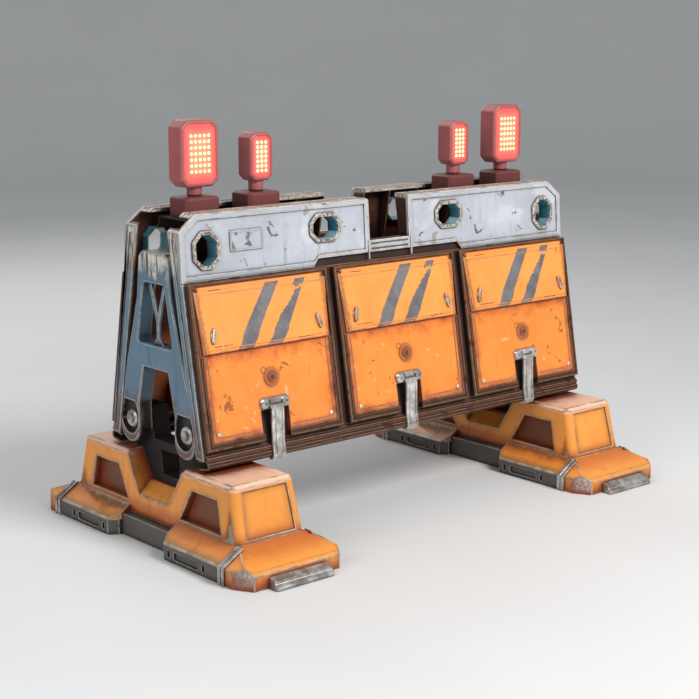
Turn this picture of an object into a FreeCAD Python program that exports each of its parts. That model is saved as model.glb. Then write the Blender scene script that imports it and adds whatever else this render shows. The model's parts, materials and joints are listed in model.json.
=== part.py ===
"""Free-standing road traffic barrier, millimetres.

+X runs along the barrier, -Y is the front, +Z is up. The origin is on the ground under the
middle. The front board is modelled once and turned half round Z to make the rear board, and the
left foot and end frame are turned the same way to make the right ones.
"""
import FreeCAD, Part
import math
import os

V = FreeCAD.Vector

# ---------------------------------------------------------------- driving dimensions
HALF_LENGTH = 900.0          # boards, half of their length
BOARD_TOP = 1119.0           # height of the boards' top edge
BEND_Y, BEND_Z = 170.0, 898.0      # where the upper face meets the leaning lower face
HEEL_Y, HEEL_Z = 269.0, 334.0      # lower corner of the leaning face
TOP_Y = 155.0                # outer face at the top edge
INNER_TOP_Y, INNER_HEEL_Y = 80.0, 226.0   # inner face at the top edge and at the heel
CAP = 7.5                    # thickness of the edge channels
CORNER_X, CORNER_Z = 68.0, 55.0    # cut corners of the boards

PLATE = 14.0                 # thickness of the top plate
PLATE_RIM = 20.0             # width of its raised rim
PLATE_RECESS = 5.0           # depth of its field below the rim
NOTCH_X, NOTCH_Z = 94.0, 971.0     # half width and floor of the notch in the middle
SKIRT_X, SKIRT_STEP = 355.0, 29.0  # where the plate's lower edge steps up, and how far

OCTAGON_X, OCTAGON_Z = 797.0, 1000.0
OCTAGON_OPENING = (84.0, 100.0, 26.0)     # width, height, corner cut
SLOT_X, SLOT_Z = 295.0, 1033.0
SLOT_OPENING = (112.0, 74.0, 22.0)
BEZEL = 13.0                 # width of the collar round an opening
BEZEL_PROUD = 3.0
SLEEVE_WALL = 4.0

PITCH = 606.0                # from one module to the next
RIM_HALF, RIM_LOW, RIM_HIGH = 286.0, 28.0, 571.0
RIM_PROUD = 26.0
TRAY_HALF = 262.0
TRAY_LOW, TRAY_HIGH = 52.4, 565.0
TRAY_BACK, TRAY_FRONT = -34.0, 22.0
SHEET = 3.0
LID_LOW = 339.0              # lower edge of the storage tray and of its flap
FLANGE_D = 18.0              # face that the flap rests on
LID_HALF = 274.0
SLIT_HALF, SLIT_TOP = 55.0, 129.0  # cut in each module that the latch strap lies in
PLUG_H, PLUG_R = 235.0, 30.0

HINGE_D, HINGE_H = 16.0, 553.0     # flap hinge line, from the leaning face and along it
ROD_R, KNUCKLE_R = 3.0, 8.0
RUNNING = 0.05               # radial clearance of shafts that turn
LID_BOTTOM_D = 36.0          # how far the flap's lower edge stands out
LID_SHEET = 2.5
BUTTON_X, BUTTON_H = 220.0, 398.0
BUTTON_TILT = 14.0           # degrees, tops lean towards the middle of the flap

LATCH_D, LATCH_H = 33.0, 139.0     # latch hinge line
LATCH_PIN_R, LATCH_KNUCKLE_R = 3.0, 6.5
STRAP_HALF = 25.5
KNOB_X, KNOB_H, KNOB_R = 43.0, 149.0, 15.0
RAIL_D = 14.0                # how far the bottom rail stands out
RAIL_LOW, RAIL_HIGH = -30.0, 16.0

FRAME_OUT, FRAME_IN = 899.0, 845.0        # end frame, outer and inner face in X
HUB_Y, HUB_Z, HUB_R = 160.5, 374.0, 57.0
HUB_BOLT_Z, HUB_BOLT_R = 398.0, 31.0
BOLT_SHAFT_R, BOLT_HOLE_R = 12.0, 12.2
SADDLE_DEEP = 72.0           # saddle, along the barrier

FOOT_X = 787.0               # middle of a foot
TOWER_HALF, TOWER_TOP = 133.0, 288.0
BASE_HALF = 209.0            # half width of the skirts
SHOULDER_Z = 104.0           # where the tower walls meet the skirts
CREASE_Z = 57.0              # where the skirts turn vertical
BUMPER_Y, TOE_Y = 610.0, 655.0

LAMP_XS = (-726.0, -470.0, 470.0, 726.0)
LAMP_BASE = (137.0, 112.0, 66.0)
TRAY_TOP = 1093.0            # lamp tray
BIG_HEAD = (152.0, 80.0, 220.0, 1190.0)   # width, depth, height, underside
SMALL_HEAD = (98.0, 75.0, 164.0, 1195.0)
NECK_R, SPIGOT_R = 26.0, 9.0

LEAN = math.degrees(math.atan2(HEEL_Y - BEND_Y, BEND_Z - HEEL_Z))
UPPER_LEAN = math.degrees(math.atan2(BEND_Y - TOP_Y, BOARD_TOP - BEND_Z))
LID_LEAN = math.degrees(math.atan2(LID_BOTTOM_D - HINGE_D - KNUCKLE_R, HINGE_H - LID_LOW))


# ---------------------------------------------------------------- plain helpers
def box(x0, x1, y0, y1, z0, z1):
    return Part.makeBox(x1 - x0, y1 - y0, z1 - z0, V(x0, y0, z0))


def face_of(points):
    return Part.Face(Part.makePolygon(points + [points[0]]))


def prism_x(points, x0, x1):
    """Outline of (y, z) points, drawn out along X."""
    return face_of([V(x0, y, z) for y, z in points]).extrude(V(x1 - x0, 0, 0))


def prism_y(points, y0, y1):
    """Outline of (x, z) points, drawn out along Y."""
    return face_of([V(x, y0, z) for x, z in points]).extrude(V(0, y1 - y0, 0))


def prism_z(points, z0, z1):
    """Outline of (x, y) points, drawn out along Z."""
    return face_of([V(x, y, z0) for x, y in points]).extrude(V(0, 0, z1 - z0))


def rod(axis, centre, radius, length):
    """Cylinder from centre along axis."""
    return Part.makeCylinder(radius, length, V(*centre), V(*axis))


def bar(axis, centre, radius, length, sides=16):
    """Many-sided bar from centre along axis, for round pieces that nothing turns on."""
    along = V(*axis)
    first = V(0, 0, 1) if abs(along.z) < 0.5 else V(1, 0, 0)
    second = along.cross(first)
    turns = [2 * math.pi * (k + 0.5) / sides for k in range(sides)]
    ring = [V(*centre) + first * (radius * math.cos(a)) + second * (radius * math.sin(a))
            for a in turns]
    return face_of(ring).extrude(along * length)


def rim_edges(shape, axis, level):
    """Edges that lie in the plane at a level along X, Y or Z."""
    return [e for e in shape.Edges
            if all(abs(getattr(v.Point, axis) - level) < 0.01 for v in e.Vertexes)]


def fuse(shapes):
    whole = shapes[0].fuse(shapes[1:]) if len(shapes) > 1 else shapes[0]
    return whole.removeSplitter()


def cut(shape, tools):
    return shape.cut(Part.makeCompound(tools)).removeSplitter()


def half_turn(shape):
    """The same piece on the other side of the barrier."""
    turned = shape.copy()
    turned.rotate(V(0, 0, 0), V(0, 0, 1), 180)
    return turned


def moved(shape, x=0.0, y=0.0, z=0.0):
    copy = shape.copy()
    copy.translate(V(x, y, z))
    return copy


def mirror_points(points):
    """A half outline from top to bottom, closed by its mirror image."""
    return points + [(-a, b) for a, b in reversed(points)]


def eight_corners(width, height, corner):
    """Rectangle with cut corners, as (x, z) points round the origin."""
    w, h = width / 2, height / 2
    return [(w - corner, -h), (w, -h + corner), (w, h - corner), (w - corner, h),
            (-w + corner, h), (-w, h - corner), (-w, -h + corner), (-w + corner, -h)]


def on_lower(shape):
    """From (x, -out, up) on the leaning face of the front board to its place."""
    placed = shape.copy()
    placed.rotate(V(0, 0, 0), V(1, 0, 0), -LEAN)
    placed.translate(V(0, -HEEL_Y, HEEL_Z))
    return placed


def on_upper(shape):
    """From (x, -out, up) on the upper face of the front board to its place."""
    placed = shape.copy()
    placed.rotate(V(0, 0, 0), V(1, 0, 0), -UPPER_LEAN)
    placed.translate(V(0, -BEND_Y, BEND_Z))
    return placed


def upper_h(z):
    """Distance along the upper face for a height."""
    return (z - BEND_Z) / math.cos(math.radians(UPPER_LEAN))


def inner_y(z):
    """How far the boards' inner face is from the middle at a height."""
    share = (BOARD_TOP - z) / (BOARD_TOP - HEEL_Z)
    return INNER_TOP_Y + share * (INNER_HEEL_Y - INNER_TOP_Y)


def save(name, shape):
    shape.exportStep("parts/" + name + ".step")


# ---------------------------------------------------------------- boards
def corner_cuts():
    """The wedges that take off the boards' upper corners."""
    wedges = []
    for side in (-1, 1):
        far = HALF_LENGTH + 10
        slope = CORNER_Z / CORNER_X
        points = [(side * far, BOARD_TOP - CORNER_Z - 10 * slope),
                  (side * (HALF_LENGTH - CORNER_X - 10), BOARD_TOP + 10 * slope),
                  (side * far, BOARD_TOP + 60)]
        wedges.append(prism_y(points, -HEEL_Y, 0))
    return wedges


def board_section(grooved):
    """Cross-section (y, z) of the front board behind its top plate."""
    back = PLATE / math.cos(math.radians(UPPER_LEAN)) + 0.1
    step = 2.0
    points = [(-HEEL_Y, HEEL_Z), (-BEND_Y, BEND_Z),
              (-BEND_Y + back + step * math.tan(math.radians(UPPER_LEAN)), BEND_Z + step),
              (-TOP_Y + back, BOARD_TOP)]
    if grooved:
        for start in (TOP_Y - back - 12, TOP_Y - back - 32):
            points += [(-start, BOARD_TOP), (-start + 2, BOARD_TOP - 6),
                       (-start + 7, BOARD_TOP - 6), (-start + 9, BOARD_TOP)]
    points += [(-INNER_TOP_Y, BOARD_TOP), (-INNER_HEEL_Y, HEEL_Z)]
    return points


def opening_places():
    """Centre x, centre height on the upper face and size of the four openings."""
    places = []
    for side in (-1, 1):
        places.append((side * OCTAGON_X, upper_h(OCTAGON_Z), OCTAGON_OPENING))
        places.append((side * SLOT_X, upper_h(SLOT_Z), SLOT_OPENING))
    return places


def opening_prism(place, grow, d0, d1):
    """Prism of an opening, grown all round, between two depths from the face."""
    x, h, (width, height, corner) = place
    outline = eight_corners(width + 2 * grow, height + 2 * grow, corner + 0.59 * grow)
    return prism_y([(x + a, h + b) for a, b in outline], -d1, -d0)


def tray_outline(inset):
    """Module outline (x, h) with the strap's cut in its lower edge."""
    side, low = TRAY_HALF - inset, TRAY_LOW + inset
    slit, top = SLIT_HALF + 3.5 + inset, SLIT_TOP + 2 + inset
    return [(-side, low), (-slit, low), (-slit, top), (slit, top), (slit, low), (side, low),
            (side, LID_LOW), (-side, LID_LOW)]


def module_rim():
    """Raised brown rim round one module, with a groove along its middle."""
    high = RIM_HIGH
    rim = box(-RIM_HALF, RIM_HALF, -RIM_PROUD, 1, RIM_LOW, high)
    rim = rim.makeChamfer(4, [e for e in rim.Edges
                              if abs(e.CenterOfMass.y + RIM_PROUD) < 0.01])
    gap = 0.4
    lower = box(-TRAY_HALF - gap, TRAY_HALF + gap, -40, 2, TRAY_LOW - gap, LID_LOW)
    upper = box(-LID_HALF - 0.6, LID_HALF + 0.6, -40, 2, LID_LOW - 1, TRAY_HIGH + gap)
    slit = box(-SLIT_HALF, SLIT_HALF, -40, 2, RIM_LOW - 5, SLIT_TOP)
    grooves = []
    for side in (-1, 1):
        x0, x1 = sorted((side * (TRAY_HALF + 9), side * (TRAY_HALF + 14)))
        grooves.append(box(x0, x1, -40, -RIM_PROUD + 4, RIM_LOW + 10, LID_LOW - 6))
    grooves.append(box(-TRAY_HALF - 14, TRAY_HALF + 14, -40, -RIM_PROUD + 4,
                       TRAY_LOW - 14, TRAY_LOW - 9))
    return cut(rim, [lower, upper, slit] + grooves)


def bottom_rail(half):
    points = [(43.0, RAIL_LOW), (-RAIL_D + 8, RAIL_LOW), (-RAIL_D, RAIL_LOW + 8),
              (-RAIL_D, -9), (-RAIL_D + 4, -7), (-RAIL_D + 4, -3), (-RAIL_D, -1),
              (-RAIL_D, RAIL_HIGH - 8), (-RAIL_D + 8, RAIL_HIGH), (-RAIL_D + 14, RAIL_HIGH),
              (-RAIL_D + 14, 3), (43.0, 3)]
    return prism_x(points, -half, half)


def back_pockets():
    """Hollows of the pressed board and of its bottom rail, open towards the middle."""
    pockets, rails = [], []
    rib, wall = 4.0, 4.0
    back = PLATE + 0.1 + wall
    edges = (NOTCH_X + 6, 224.0, 366.0, 545.0, 715.0, HALF_LENGTH - CAP - wall)
    low, high = BEND_Z + 16, BOARD_TOP - 14
    share = (high - low) / (BOARD_TOP - BEND_Z)
    outer_high, outer_low = TOP_Y - back + 1, TOP_Y - back + 1 + share * (BEND_Y - TOP_Y)
    profile = [(-outer_low, low), (-outer_high, high), (0, high), (0, low)]
    for start, end in zip(edges, edges[1:]):
        for side in (-1, 1):
            x0, x1 = sorted((side * (start + rib / 2), side * (end - rib / 2)))
            pockets.append(prism_x(profile, x0, x1))
    for side in (-1, 1):
        middle = side * PITCH / 2
        post = box(middle - 36, middle + 36, wall, 200, TRAY_LOW + 10, TRAY_HIGH - 12)
        pockets.append(on_lower(post))
    for index in (-1, 0, 1):
        middle = index * PITCH
        sill = box(middle - TRAY_HALF, middle + TRAY_HALF, wall + 1, 200, 9, TRAY_LOW - 7)
        behind_strap = box(middle - SLIT_HALF + 2, middle + SLIT_HALF - 2, wall + 1, 200, 9,
                           SLIT_TOP - 5)
        rail = box(middle - PITCH / 2 + 12, middle + PITCH / 2 - 12, -RAIL_D + 9, 200,
                   RAIL_LOW + 6, -3)
        pockets += [on_lower(shape) for shape in (sill, behind_strap)]
        rails.append(on_lower(rail))
    return pockets, rails


def make_board():
    half = HALF_LENGTH - CAP
    core = prism_x(board_section(True), -half, half)
    holes = [on_upper(opening_prism(p, SLEEVE_WALL + 0.2, -90, 20)) for p in opening_places()]
    notch = box(-NOTCH_X - 2, NOTCH_X + 2, -HEEL_Y, 0, NOTCH_Z - 2, BOARD_TOP + 10)
    additions = [on_lower(bottom_rail(half))]
    for index in (-1, 0, 1):
        hole = prism_y(tray_outline(-0.4), -30, 60)
        upper = box(-TRAY_HALF - 0.4, TRAY_HALF + 0.4, -30, 60, LID_LOW - 1, TRAY_HIGH + 0.4)
        holes.append(on_lower(moved(fuse([hole, upper]), x=index * PITCH)))
        additions.append(on_lower(moved(module_rim(), x=index * PITCH)))
    pockets, rails = back_pockets()
    core = cut(core, holes + [notch] + pockets + corner_cuts())
    return cut(fuse([core] + additions), rails)


def plate_outline():
    """Outline (x, h) of the top plate, from the middle of its lower edge."""
    low, step = upper_h(BEND_Z + 3), upper_h(BEND_Z + 3 + SKIRT_STEP)
    high, floor = upper_h(BOARD_TOP), upper_h(NOTCH_Z)
    shoulder = upper_h(BOARD_TOP - CORNER_Z)
    half = [(SKIRT_X - 22, step), (SKIRT_X, low), (HALF_LENGTH, low), (HALF_LENGTH, shoulder),
            (HALF_LENGTH - CORNER_X, high), (NOTCH_X + 10, high), (NOTCH_X + 3, high - 3),
            (NOTCH_X, high - 10), (NOTCH_X, floor)]
    return half + [(-x, h) for x, h in reversed(half)]


def field_outline(side):
    """Recessed field (x, h) of the plate, left or right of the notch."""
    low, step = upper_h(BEND_Z + 3) + PLATE_RIM, upper_h(BEND_Z + 3 + SKIRT_STEP) + PLATE_RIM * 0.6
    high = upper_h(BOARD_TOP) - PLATE_RIM
    shoulder = upper_h(BOARD_TOP - CORNER_Z) - 8
    end = HALF_LENGTH - PLATE_RIM
    points = [(NOTCH_X + PLATE_RIM, step), (SKIRT_X - 30, step), (SKIRT_X - 8, low), (end, low),
              (end, shoulder), (HALF_LENGTH - CORNER_X - 8, high), (NOTCH_X + PLATE_RIM, high)]
    return [(side * x, h) for x, h in points]


def make_top_plate():
    plate = prism_y(plate_outline(), 0, PLATE)
    fields = [prism_y(field_outline(side), -1, PLATE_RECESS) for side in (-1, 1)]
    band_low, band_high = upper_h(BEND_Z + 3 + SKIRT_STEP), upper_h(NOTCH_Z)
    ridges = [box(-NOTCH_X + 6, NOTCH_X - 6, -1, PLATE_RECESS, h, h + 6)
              for h in (band_low + 8, band_high - 15)]
    holes = [opening_prism(p, SLEEVE_WALL + 0.2, -40, 20) for p in opening_places()]
    plate = cut(plate, fields + ridges + holes)
    label = box(-700, -566, 1.0, PLATE_RECESS + 1, upper_h(987), upper_h(1055))
    label = cut(label, [box(-694, -572, 0, 2.2, upper_h(993), upper_h(1049))])
    ribs = [box(side * 101 - 3, side * 101 + 3, -3, PLATE_RECESS, band_low - 24, band_high + 3)
            for side in (-1, 1)]
    return on_upper(fuse([plate, label] + ribs))


def make_sleeves():
    """Four lined openings of the front board, each with a collar on the plate."""
    sleeves = []
    for place in opening_places():
        depth = 56.0
        tube = opening_prism(place, SLEEVE_WALL, -depth, -PLATE_RECESS + 0.1)
        collar = opening_prism(place, BEZEL, -PLATE_RECESS + 0.1, BEZEL_PROUD)
        collar = collar.makeChamfer(2.5, [e for e in collar.Edges
                                          if abs(e.CenterOfMass.y + BEZEL_PROUD) < 0.01])
        sleeve = cut(fuse([tube, collar]), [opening_prism(place, 0, -depth - 5, 20)])
        sleeves.append(on_upper(sleeve))
    return sleeves


def make_edge_caps():
    caps = []
    for side in (-1, 1):
        x0, x1 = sorted((side * (HALF_LENGTH - CAP), side * HALF_LENGTH))
        cap = prism_x(board_section(False), x0, x1)
        reach = HALF_LENGTH - 3 if side > 0 else -HALF_LENGTH - 1
        groove = prism_x([(-inner_y(BOARD_TOP - 80) - 18, BOARD_TOP - 80),
                          (-inner_y(BOARD_TOP - 80) - 34, BOARD_TOP - 80),
                          (-HEEL_Y + 13, HEEL_Z + 30), (-HEEL_Y + 26, HEEL_Z + 30)],
                         reach, reach + 4)
        caps.append(cut(cap, [groove] + corner_cuts()))
    return caps


# ---------------------------------------------------------------- modules, flaps and latches
def make_cassette():
    """Folded tray: storage space above, open to the front, and a panel pan below."""
    lower = prism_y(tray_outline(0), -TRAY_FRONT, -TRAY_BACK)
    upper = box(-TRAY_HALF, TRAY_HALF, -FLANGE_D, -TRAY_BACK, LID_LOW - 1, TRAY_HIGH)
    flange = box(-LID_HALF, LID_HALF, -FLANGE_D, -FLANGE_D + SHEET, LID_LOW, TRAY_HIGH)
    ears = [bar((1, 0, 0), (x, -HINGE_D, HINGE_H), 7.0, 4.0, 12)
            for x in (-TRAY_HALF, TRAY_HALF - 4)]
    body = fuse([lower, upper, flange])
    store = box(-TRAY_HALF + SHEET, TRAY_HALF - SHEET, -60, -TRAY_BACK - SHEET,
                LID_LOW + SHEET, TRAY_HIGH - SHEET)
    pan = prism_y(tray_outline(SHEET), -TRAY_FRONT + SHEET, 60)
    pan = pan.cut(box(-300, 300, -60, 70, LID_LOW - SHEET, LID_LOW + 10))
    body = cut(body, [store, pan])
    seam = []
    inset, width, depth = 13.0, 3.0, 1.5
    side, low, high = TRAY_HALF - inset, TRAY_LOW + inset, LID_LOW - 1
    for sign in (-1, 1):
        x0, x1 = sorted((sign * side, sign * (side - width)))
        seam.append(box(x0, x1, -TRAY_FRONT - 1, -TRAY_FRONT + depth, low, high))
        x0, x1 = sorted((sign * (SLIT_HALF + 14), sign * side))
        seam.append(box(x0, x1, -TRAY_FRONT - 1, -TRAY_FRONT + depth, low, low + width))
    plug = bar((0, -1, 0), (0, -TRAY_FRONT + 1, PLUG_H), PLUG_R, 4.0, 24)
    stem = bar((0, -1, 0), (0, -TRAY_FRONT + 1, PLUG_H), 12.5, 7.0, 16)
    ring = bar((0, -1, 0), (0, -TRAY_FRONT - 1.5, PLUG_H), 20.0, 6.0, 24)
    body = fuse([cut(body, seam), cut(plug, [ring]), stem] + ears)
    pin_holes = [bar((1, 0, 0), (x, -HINGE_D, HINGE_H), ROD_R, 20.0, 12)
                 for x in (-TRAY_HALF - 10, TRAY_HALF - 10)]
    return cut(body, pin_holes)


def lid_face_d(h):
    """How far the flap's outer face is from the leaning face at a distance along it."""
    top = HINGE_D + KNUCKLE_R
    return top + (LID_BOTTOM_D - top) * (HINGE_H - h) / (HINGE_H - LID_LOW)


def lid_solid(shrink):
    """The flap's outer form, shrunk by its sheet for the hollow inside."""
    low = LID_LOW + 2 + shrink
    base = FLANGE_D + 0.4 if shrink == 0 else 0.0
    side = LID_HALF - shrink
    profile = [(-base, low), (-lid_face_d(low + 4) + shrink + 4, low),
               (-lid_face_d(low + 4) + shrink, low + 4), (-lid_face_d(HINGE_H) + shrink, HINGE_H),
               (-base, HINGE_H)]
    whole = prism_x(profile, -side, side)
    bevel = [(-side, 0.0), (-side, -25.0), (-side + 16, -45.0), (side - 16, -45.0), (side, -25.0),
             (side, 0.0)]
    return whole.common(prism_z(bevel, low - 5, HINGE_H + 5))


def button_frame(shape, side):
    """Place a piece drawn round the -Y axis at a turn-button's seat on the flap."""
    placed = shape.copy()
    placed.rotate(V(0, 0, 0), V(1, 0, 0), -LID_LEAN)
    placed.translate(V(side * BUTTON_X, -lid_face_d(BUTTON_H), BUTTON_H))
    return placed


def make_flap():
    lid = cut(lid_solid(0), [lid_solid(LID_SHEET)])
    knuckle = bar((1, 0, 0), (-TRAY_HALF + 5, -HINGE_D, HINGE_H), KNUCKLE_R,
                  2 * (TRAY_HALF - 5), 16)
    clear = [box(-LID_HALF - 5, -TRAY_HALF + 5, -60, 10, HINGE_H - 9, HINGE_H + 20),
             box(TRAY_HALF - 5, LID_HALF + 5, -60, 10, HINGE_H - 9, HINGE_H + 20)]
    lid = fuse([cut(lid, clear), knuckle])
    bore = rod((1, 0, 0), (-300, -HINGE_D, HINGE_H), ROD_R + RUNNING, 600)
    fold = box(-LID_HALF + 14, LID_HALF - 14, -lid_face_d(HINGE_H - 22) - 5,
               -lid_face_d(HINGE_H - 22) + 0.9, HINGE_H - 22, HINGE_H - 19)
    seats = [button_frame(rod((0, -1, 0), (0, 12, 0), 5.0 + RUNNING, 30), side)
             for side in (-1, 1)]
    return cut(lid, [bore, fold] + seats)


def make_button(side):
    """Quarter-turn button: washer, oblong wing, shaft through the flap and a keeper inside."""
    washer = bar((0, -1, 0), (0, -0.3, 0), 12.5, 2.5)
    wing = prism_y(eight_corners(15, 50, 5), -11, -2)
    wing = wing.makeChamfer(2.5, [e for e in wing.Edges if abs(e.CenterOfMass.y + 11) < 0.01])
    slot = box(-2, 2, -12, -9, -14, 14)
    shaft = rod((0, -1, 0), (0, LID_SHEET + 3.5, 0), 5.0, 10)
    keeper = bar((0, -1, 0), (0, LID_SHEET + 3.5, 0), 8.0, 3.0, 8)
    button = cut(fuse([washer, wing, shaft, keeper]), [slot])
    button.rotate(V(0, 0, 0), V(0, -1, 0), side * BUTTON_TILT)
    return button_frame(button, side)


def make_latch_plate():
    """T-shaped hinge plate of a latch with two knobs, two ears and its pin."""
    face = -TRAY_FRONT
    outline = eight_corners(2 * (KNOB_X + KNOB_R + 2), 36, 8)
    plate = prism_y([(x, z + KNOB_H + 2) for x, z in outline], face - 4, face)
    pieces = [plate]
    for side in (-1, 1):
        knob = bar((0, -1, 0), (side * KNOB_X, face - 3, KNOB_H), KNOB_R, 11, 18)
        knob = knob.makeChamfer(3.5, rim_edges(knob, "y", face - 14))
        socket = bar((0, -1, 0), (side * KNOB_X, face - 11, KNOB_H), 5.5, 10, 8)
        pieces.append(cut(knob, [socket]))
        x0 = STRAP_HALF + 0.5 if side > 0 else -STRAP_HALF - 4.5
        ear = bar((1, 0, 0), (x0, -LATCH_D, LATCH_H), LATCH_KNUCKLE_R, 4, 12)
        web = box(x0, x0 + 4, -LATCH_D, face - 2, LATCH_H - LATCH_KNUCKLE_R, LATCH_H + 6)
        pieces += [ear, web]
    boss = prism_x([(face - 3, KNOB_H), (face - 9, KNOB_H + 2), (face - 9, KNOB_H + 12),
                    (face - 3, KNOB_H + 18)], -20, 20)
    pin = rod((1, 0, 0), (-STRAP_HALF - 4, -LATCH_D, LATCH_H), LATCH_PIN_R,
              2 * STRAP_HALF + 8)
    return fuse(pieces + [boss, pin])


def make_latch():
    """Ribbed strap that swings on the pin and hooks under the bottom rail."""
    near = RAIL_D + 0.8
    outline = [(-39.5, 139.0), (-38.5, 124.0), (-near - 8, 22.0), (-near - 8, -26.0),
               (-near + 1, -39.0), (7.0, -39.0), (7.0, RAIL_LOW - 1.6),
               (-8.0, RAIL_LOW - 1.6), (-near, RAIL_LOW + 6), (-near, 18.0), (-30.0, 118.0),
               (-30.5, 134.0), (-LATCH_D, 139.0)]
    strap = prism_x(outline, -STRAP_HALF, STRAP_HALF)
    knuckle = bar((1, 0, 0), (-STRAP_HALF, -LATCH_D, LATCH_H), LATCH_KNUCKLE_R,
                  2 * STRAP_HALF, 12)
    channels = []
    for x in (-14.0, 14.0):
        line = [(-39.0 - 2, 128.0), (-near - 8 - 2, 22.0), (-near - 8 - 2, -22.0),
                (-near - 8 + 2.5, -22.0), (-near - 8 + 2.5, 22.0), (-38.5 + 2.5, 122.0)]
        channels.append(prism_x(line, x - 5, x + 5))
    bore = rod((1, 0, 0), (-50, -LATCH_D, LATCH_H), LATCH_PIN_R + RUNNING, 100)
    return cut(fuse([strap, knuckle]), [bore] + channels)


def make_corner_bolts():
    bolts = []
    for index in (-1, 0, 1):
        for side in (-1, 1):
            x = index * PITCH + side * 236.0
            head = bar((0, -1, 0), (x, -TRAY_FRONT, 80.0), 7.0, 4.0, 10)
            head = head.makeChamfer(1.5, rim_edges(head, "y", -TRAY_FRONT - 4))
            bolts.append(on_lower(head))
    return bolts


def place_module(shape, index):
    return on_lower(moved(shape, x=index * PITCH))


# ---------------------------------------------------------------- end frames and saddles
def frame_outline():
    """Outer edge of the end frame with its two round-bottomed hub housings."""
    def point(y, z):
        return V(-FRAME_OUT, y, z)
    outside = [(66, 985), (84, 968), (99, 833), (inner_y(557) - 2, 557), (HUB_Y + HUB_R, HUB_Z)]
    inside = [(HUB_Y - HUB_R, HUB_Z), (106, 455), (72, 594)]
    edges = []
    for sign in (1, -1):
        outer = [point(sign * y, z) for y, z in outside]
        inner = [point(sign * y, z) for y, z in inside]
        for a, b in zip(outer, outer[1:]):
            edges.append(Part.LineSegment(a, b).toShape())
        turns = [math.pi * k / 12 for k in range(13)]
        round_end = [point(sign * (HUB_Y + HUB_R * math.cos(a)), HUB_Z - HUB_R * math.sin(a))
                     for a in turns]
        for a, b in zip(round_end, round_end[1:]):
            edges.append(Part.LineSegment(a, b).toShape())
        for a, b in zip(inner, inner[1:]):
            edges.append(Part.LineSegment(a, b).toShape())
    for y, z in (outside[0], inside[-1]):
        edges.append(Part.LineSegment(point(y, z), point(-y, z)).toShape())
    return Part.Face(Part.Wire(Part.__sortEdges__(edges)))


def pocket(sign):
    """Oval recess of a hub housing."""
    radius, low, high = 49.0, 396.0, 430.0
    y = sign * (HUB_Y - 1)
    depth = 18.0
    bottom = bar((1, 0, 0), (-FRAME_OUT - 1, y, low), radius, depth + 1, 32)
    top = prism_x([(y - radius, low), (y + radius, low), (y + radius, high),
                   (y + radius - 14, high + 34), (y - radius + 14, high + 34),
                   (y - radius, high)], -FRAME_OUT - 1, -FRAME_OUT + depth)
    return fuse([bottom, top])


def make_end_frame():
    plate = frame_outline().extrude(V(FRAME_OUT - FRAME_IN, 0, 0))
    plate = plate.makeChamfer(4, rim_edges(plate, "x", -FRAME_OUT))
    window = prism_x([(60, 882), (101, 675), (-101, 675), (-60, 882)], -FRAME_OUT - 1,
                     -FRAME_IN + 1)
    upright = [e for e in window.Edges if abs(e.tangentAt(e.FirstParameter).x) > 0.99]
    window = window.makeFillet(12, upright)
    bolt_holes = [bar((1, 0, 0), (-FRAME_OUT - 5, s * HUB_Y, HUB_BOLT_Z), BOLT_HOLE_R, 80, 12)
                  for s in (-1, 1)]
    frame = cut(plate, [window, pocket(1), pocket(-1)] + bolt_holes)
    sill = [e for e in frame.Edges
            if abs(e.CenterOfMass.x + FRAME_OUT) < 0.01 and 670 < e.CenterOfMass.z < 890
            and abs(e.CenterOfMass.y) < inner_y(e.CenterOfMass.z) - 60]
    frame = frame.makeChamfer(4, sill)
    brace_x = -FRAME_OUT + 16
    left = prism_x([(52, 884), (36, 884), (-8, 752), (8, 752)], brace_x, brace_x + 9)
    right = prism_x([(-52, 884), (-36, 884), (8, 752), (-8, 752)], brace_x, brace_x + 9)
    stem = prism_x([(8, 762), (-8, 762), (-8, 700), (-30, 670), (30, 670), (8, 700)],
                   brace_x, brace_x + 9)
    return fuse([frame, left, right, stem])


def make_hub_bolts():
    bolts = []
    for sign in (-1, 1):
        seat = -FRAME_OUT + 18.0
        centre = (seat, sign * HUB_Y, HUB_BOLT_Z)
        head = bar((-1, 0, 0), centre, HUB_BOLT_R, 13, 24)
        head = head.makeChamfer(5, rim_edges(head, "x", seat - 13))
        hex_head = prism_x([(sign * HUB_Y + 17 * math.cos(a), HUB_BOLT_Z + 17 * math.sin(a))
                            for a in [math.radians(60 * k) for k in range(6)]],
                           seat - 20, seat - 12)
        shaft = bar((1, 0, 0), centre, BOLT_SHAFT_R, 36 + SADDLE_DEEP, 12)
        bolts.append(fuse([head, hex_head, shaft]))
    return bolts


def make_saddle():
    """Yoke in the foot's trough with two lugs behind the hub housings."""
    half = [(95, 330), (118, 440), (196, 440), (204, 400), (204, TOWER_TOP + 0.3),
            (166.4, TOWER_TOP + 0.3), (107.4, 187.3)]
    yoke = prism_x(mirror_points(half), -FRAME_IN + 0.3, -FRAME_IN + SADDLE_DEEP)
    holes = [bar((1, 0, 0), (-FRAME_OUT, s * HUB_Y, HUB_BOLT_Z), BOLT_HOLE_R, 200, 12)
             for s in (-1, 1)]
    lighten = prism_x([(60, 300), (45, 215), (-45, 215), (-60, 300)], -FRAME_OUT, -FRAME_IN + 200)
    return cut(yoke, holes + [lighten])


# ---------------------------------------------------------------- feet
def tower_end_y(z):
    """Outer end wall of a tower at a height."""
    return 480.0 - (z - SHOULDER_Z) * 42.0 / 172.0


def foot_side_outline(drop):
    """Side outline (y, z) of the orange body, with its trough and two towers."""
    low = 75.0
    half = [(108 - drop, 187 - 1.71 * drop), (167, TOWER_TOP), (TOWER_TOP + 134, TOWER_TOP),
            (tower_end_y(276), 276), (480, SHOULDER_Z), (480, low)]
    return half + [(-y, z) for y, z in reversed(half)]


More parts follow.
